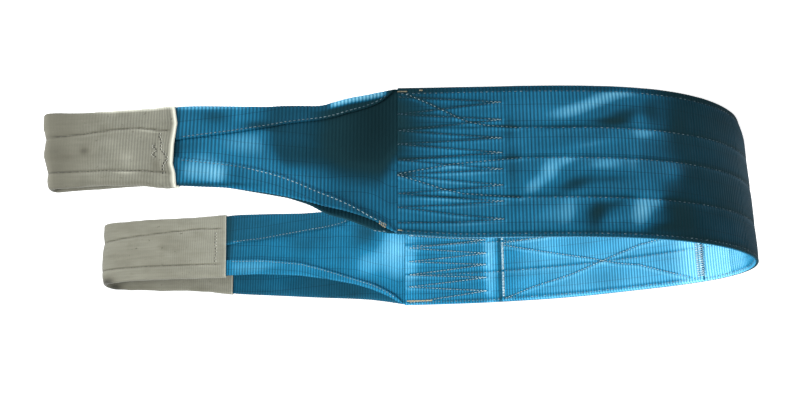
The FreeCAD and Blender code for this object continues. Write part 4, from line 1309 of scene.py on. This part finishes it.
def build_sleeve(eye, spec):
    loop, side, tag = eye.loop, eye.side, eye.tag
    start, end = loop.where_x(eye.mouth_x), loop.where_x(eye.mouth_x, first=False)
    steps = int(round((end - start) / (SLEEVE_RIB / 4)))
    stations = start + (end - start) * np.arange(steps + 1) / steps
    run = stations - start
    path_x, path_y, tx, ty = loop.at(stations)
    nx, ny = -side * ty, side * tx
    x = path_x + ORIGIN[0]
    second = stations > (start + end) / 2
    high = np.interp(x, *spec.high)
    high = high + np.where(second, np.interp(x, *spec.high_outer), np.interp(x, *spec.high_inner))
    low, high, furrow0, furrow1 = (smooth(v, 12) for v in (
        np.interp(x, *spec.low), high, *(np.interp(x, *f) for f in spec.furrows)))
    furrows = (furrow0, furrow1)
    to_mouth = np.minimum(run, run[-1] - run)
    flare = 1.3 * np.exp(-(to_mouth / 5.0) ** 2) + 0.5 * np.exp(-((to_mouth - 14) / 6.0) ** 2)
    rings = [tube_ring(low[i], high[i], 0.0, flare[i]) for i in range(steps + 1)]
    depth, height = map(np.array, zip(*rings))
    count = depth.shape[1]
    girth = run_length(np.stack([depth[steps // 2], height[steps // 2]], -1))
    # normals of the tube in its cross-section
    d_depth = np.roll(depth, -1, 1) - np.roll(depth, 1, 1)
    d_height = np.roll(height, -1, 1) - np.roll(height, 1, 1)
    size = np.hypot(d_depth, d_height)
    normal_depth, normal_height = d_height / size, -d_depth / size

    # relief: faint ribs, sewn furrows, swelling between them, soft dents
    show = (1 - 0.8 * rise(x, 425, 500)) * (0.35 + 0.65 * np.clip(second + 0.6, 0, 1))
    u = run[:, None] + 0 * height
    outward = depth > TUBE_MID
    low_c, high_c, furrow0, furrow1 = (v[:, None] for v in (low, high, furrow0, furrow1))
    between = (furrow0 + furrow1) / 2
    relief = 0.06 * show[:, None] * np.cos(2 * np.pi * u / SLEEVE_RIB)
    furrow = np.clip(bell(height, furrow0, 2.6) + bell(height, furrow1, 2.6), 0, 1)
    fade = rise(to_mouth, 4, 16)[:, None]
    at_tip = np.exp(-((stations - (start + end) / 2) / 60.0) ** 2)[:, None]
    relief = relief - 1.25 * furrow * fade * (1 - 0.3 * at_tip)
    swell = bell(height, between, 24) + bell(height, (low_c + furrow0) / 2, 10)
    swell = 0.9 * (swell + bell(height, (furrow1 + high_c) / 2, 8))
    swell = swell + 0.9 * mottle(u, height + 200 * outward, spec.seed, 40, 26)
    swell = swell + 0.45 * mottle(u, height + 90 * outward, spec.seed + 1, 15, 12)
    relief = relief + swell * (0.35 + 0.65 * fade) - 0.5
    # a gathered hollow a little inside each mouth
    gather = np.exp(-((to_mouth - 26) / 7.0) ** 2)[:, None]
    relief = relief - 0.9 * gather * np.clip(bell(height, between, 30), 0, 1)
    relief = np.maximum(relief, -1.0 - 0.45 * rise(to_mouth, 40, 70)[:, None])
    tone = sleeve_tone(eye, spec, x[:, None], height, u, to_mouth[:, None], low_c, high_c,
                       furrow0, furrow1, fade, outward)

    def place(depth, height, rows=slice(None)):
        """Points of the tube, shifted along X at the tip and at the mouths."""
        px = path_x[rows][:, None] + nx[rows][:, None] * depth
        py = path_y[rows][:, None] + ny[rows][:, None] * depth
        px = px + np.interp(height, *spec.tip_shift) * rise(px + ORIGIN[0], *spec.tip_range)
        at_mouth = fall(px + ORIGIN[0], eye.mouth_x, eye.mouth_x + 40)
        px = px + np.interp(height, *spec.mouth_shift) * at_mouth
        return np.stack([px, py, height], -1)

    # outer skin, rounded lip, lining and second lip, closed into a ring
    skin = place(depth + normal_depth * relief, height + normal_height * relief)
    rows = np.unique(np.concatenate([np.arange(steps, -1, -8), [0]]))[::-1]
    rings = [tube_ring(low[i], high[i], LINING, flare[i] * 0.9) for i in rows]
    lining_depth, lining_height = map(np.array, zip(*rings))
    lining = place(lining_depth, lining_height, rows)
    tangent = np.stack([tx, ty, 0 * tx], -1)
    last_lip = (skin[-1] + lining[0]) / 2 + tangent[-1] * 1.1
    first_lip = (skin[0] + lining[-1]) / 2 - tangent[0] * 1.1
    vertices = np.concatenate([skin, last_lip[None], lining, first_lip[None]])
    ring_u = np.concatenate([run, run[-1:] + 0.6, run[rows], run[:1] - 0.6])
    lip_tone = np.full((1, count), spec.rim_tone)
    tones = np.concatenate([tone, lip_tone, 0.45 + 0 * lining_depth, lip_tone])
    i = np.arange(len(vertices))[:, None] + np.zeros((1, count), int)
    j = np.arange(count)[None, :] + 0 * i
    next_i, next_j = (i + 1) % len(vertices), (j + 1) % count
    quads = np.stack([i * count + j, i * count + next_j, next_i * count + next_j,
                      next_i * count + j], -1).reshape(-1, 4)
    # cloth coordinates, cut along one line of the tube
    across = np.stack([j, j + 1, j + 1, j], -1).reshape(-1, 4)
    along = np.stack([i, i, next_i, next_i], -1).reshape(-1, 4)
    if side < 0:
        quads, across, along = quads[:, ::-1], across[:, ::-1], along[:, ::-1]
    ob = make_mesh(tag + "_eye_sleeve", vertices.reshape(-1, 3), quads, None, tones.ravel(),
                   SLEEVE)
    ribs = np.concatenate([show, [0.5], show[rows], [0.5]])
    set_attribute(ob.data, "ribs", np.repeat(ribs, count))
    girth = np.append(girth, girth[-1] + 1.2)
    set_uv(ob.data, np.stack([ring_u[along], girth[across]], -1) * MM)
    inner, outer = tag + "_eye_inner_", tag + "_eye_outer_"
    hold = (inner + "tip", outer + "tip", *spec.blend)
    attach(ob, hold, [inner + "sleeve", outer + "sleeve"])

    # the outward face carries the stitches
    points = skin[:, :FACE_PTS]
    normals = unit(np.cross(np.gradient(points, axis=1), np.gradient(points, axis=0)) * side)
    zero = np.zeros(points.shape[:2])
    widths = (height + normal_height * relief)[:, :FACE_PTS]
    face = Surface(stations, widths, points, normals, zero, (zero, zero))
    attach(sew_sleeve(eye, spec, face, start, end, furrows), hold,
           [inner + "sleeve_thread", outer + "sleeve_thread"])


for one_eye, one_sleeve in zip(EYES, SLEEVES):
    build_sleeve(one_eye, one_sleeve)

# ---------------------------------------------------------------- floor, lights, camera (metres)
scene = bpy.context.scene
# guards against a colour setup that lacks these names; it then keeps its own
try:
    scene.view_settings.view_transform = "Standard"
    scene.view_settings.look = "None"
except TypeError:
    pass
scene.view_settings.exposure = 0.0
scene.view_settings.gamma = 1.0


def floor_material():
    """Pale floor that glows more to the camera than to the sling."""
    material = bpy.data.materials.new("pale_floor")
    material.use_nodes = True
    tree = material.node_tree
    tree.nodes.clear()
    output, diffuse, emission, light_path, strength, total = (
        tree.nodes.new("ShaderNode" + kind) for kind in (
            "OutputMaterial", "BsdfDiffuse", "Emission", "LightPath", "MapRange", "AddShader"))
    diffuse.inputs["Color"].default_value = (0.80, 0.80, 0.80, 1)
    strength.inputs["To Min"].default_value = 0.45
    strength.inputs["To Max"].default_value = 0.86
    tree.links.new(light_path.outputs["Is Camera Ray"], strength.inputs[0])
    tree.links.new(strength.outputs[0], emission.inputs["Strength"])
    tree.links.new(diffuse.outputs[0], total.inputs[0])
    tree.links.new(emission.outputs[0], total.inputs[1])
    tree.links.new(total.outputs[0], output.inputs["Surface"])
    return material


def build_floor():
    drop = -0.0006              # just under the sling's lower edge
    mesh = bpy.data.meshes.new("floor")
    corners = [(-8, -6, drop), (8, -6, drop), (8, 14, drop), (-8, 14, drop)]
    mesh.from_pydata(corners, [], [(0, 1, 2, 3)])
    floor = bpy.data.objects.new("floor", mesh)
    scene.collection.objects.link(floor)
    mesh.materials.append(floor_material())


def area_light(name, place, target, size, power):
    light = bpy.data.lights.new(name, "AREA")
    light.shape, light.size, light.energy = "DISK", size, power
    ob = bpy.data.objects.new(name, light)
    ob.location = place
    ob.rotation_euler = (Vector(target) - Vector(place)).to_track_quat("-Z", "Y").to_euler()
    scene.collection.objects.link(ob)


def build_camera():
    """Camera over the drawing's zero, looking to +Y and down, rolled by half a turn."""
    height, tilt_down = 0.5975, 15.88
    camera = bpy.data.cameras.new("camera")
    camera.lens, camera.sensor_width, camera.sensor_fit = 45.0, 36.0, "HORIZONTAL"
    camera.clip_end = 60
    ob = bpy.data.objects.new("camera", camera)
    ob.matrix_world = (Matrix.Translation((-ORIGIN[0] * MM, -ORIGIN[1] * MM, height))
                       @ Matrix.Rotation(math.radians(90 - tilt_down), 4, "X")
                       @ Matrix.Rotation(math.pi, 4, "Z"))
    scene.collection.objects.link(ob)
    scene.camera = ob


build_floor()
world = bpy.data.worlds.new("studio")
scene.world = world
world.use_nodes = True
background = world.node_tree.nodes["Background"]
background.inputs["Color"].default_value = (0.92, 0.96, 1.0, 1)
background.inputs["Strength"].default_value = 0.38
area_light("key", place=(2.1, -1.35, 0.75), target=(0.0, -0.25, 0.12), size=0.7, power=60.0)
area_light("inside", place=(-0.25, -0.12, 0.95), target=(-0.3, 0.25, 0.15), size=0.5, power=16.0)
build_camera()
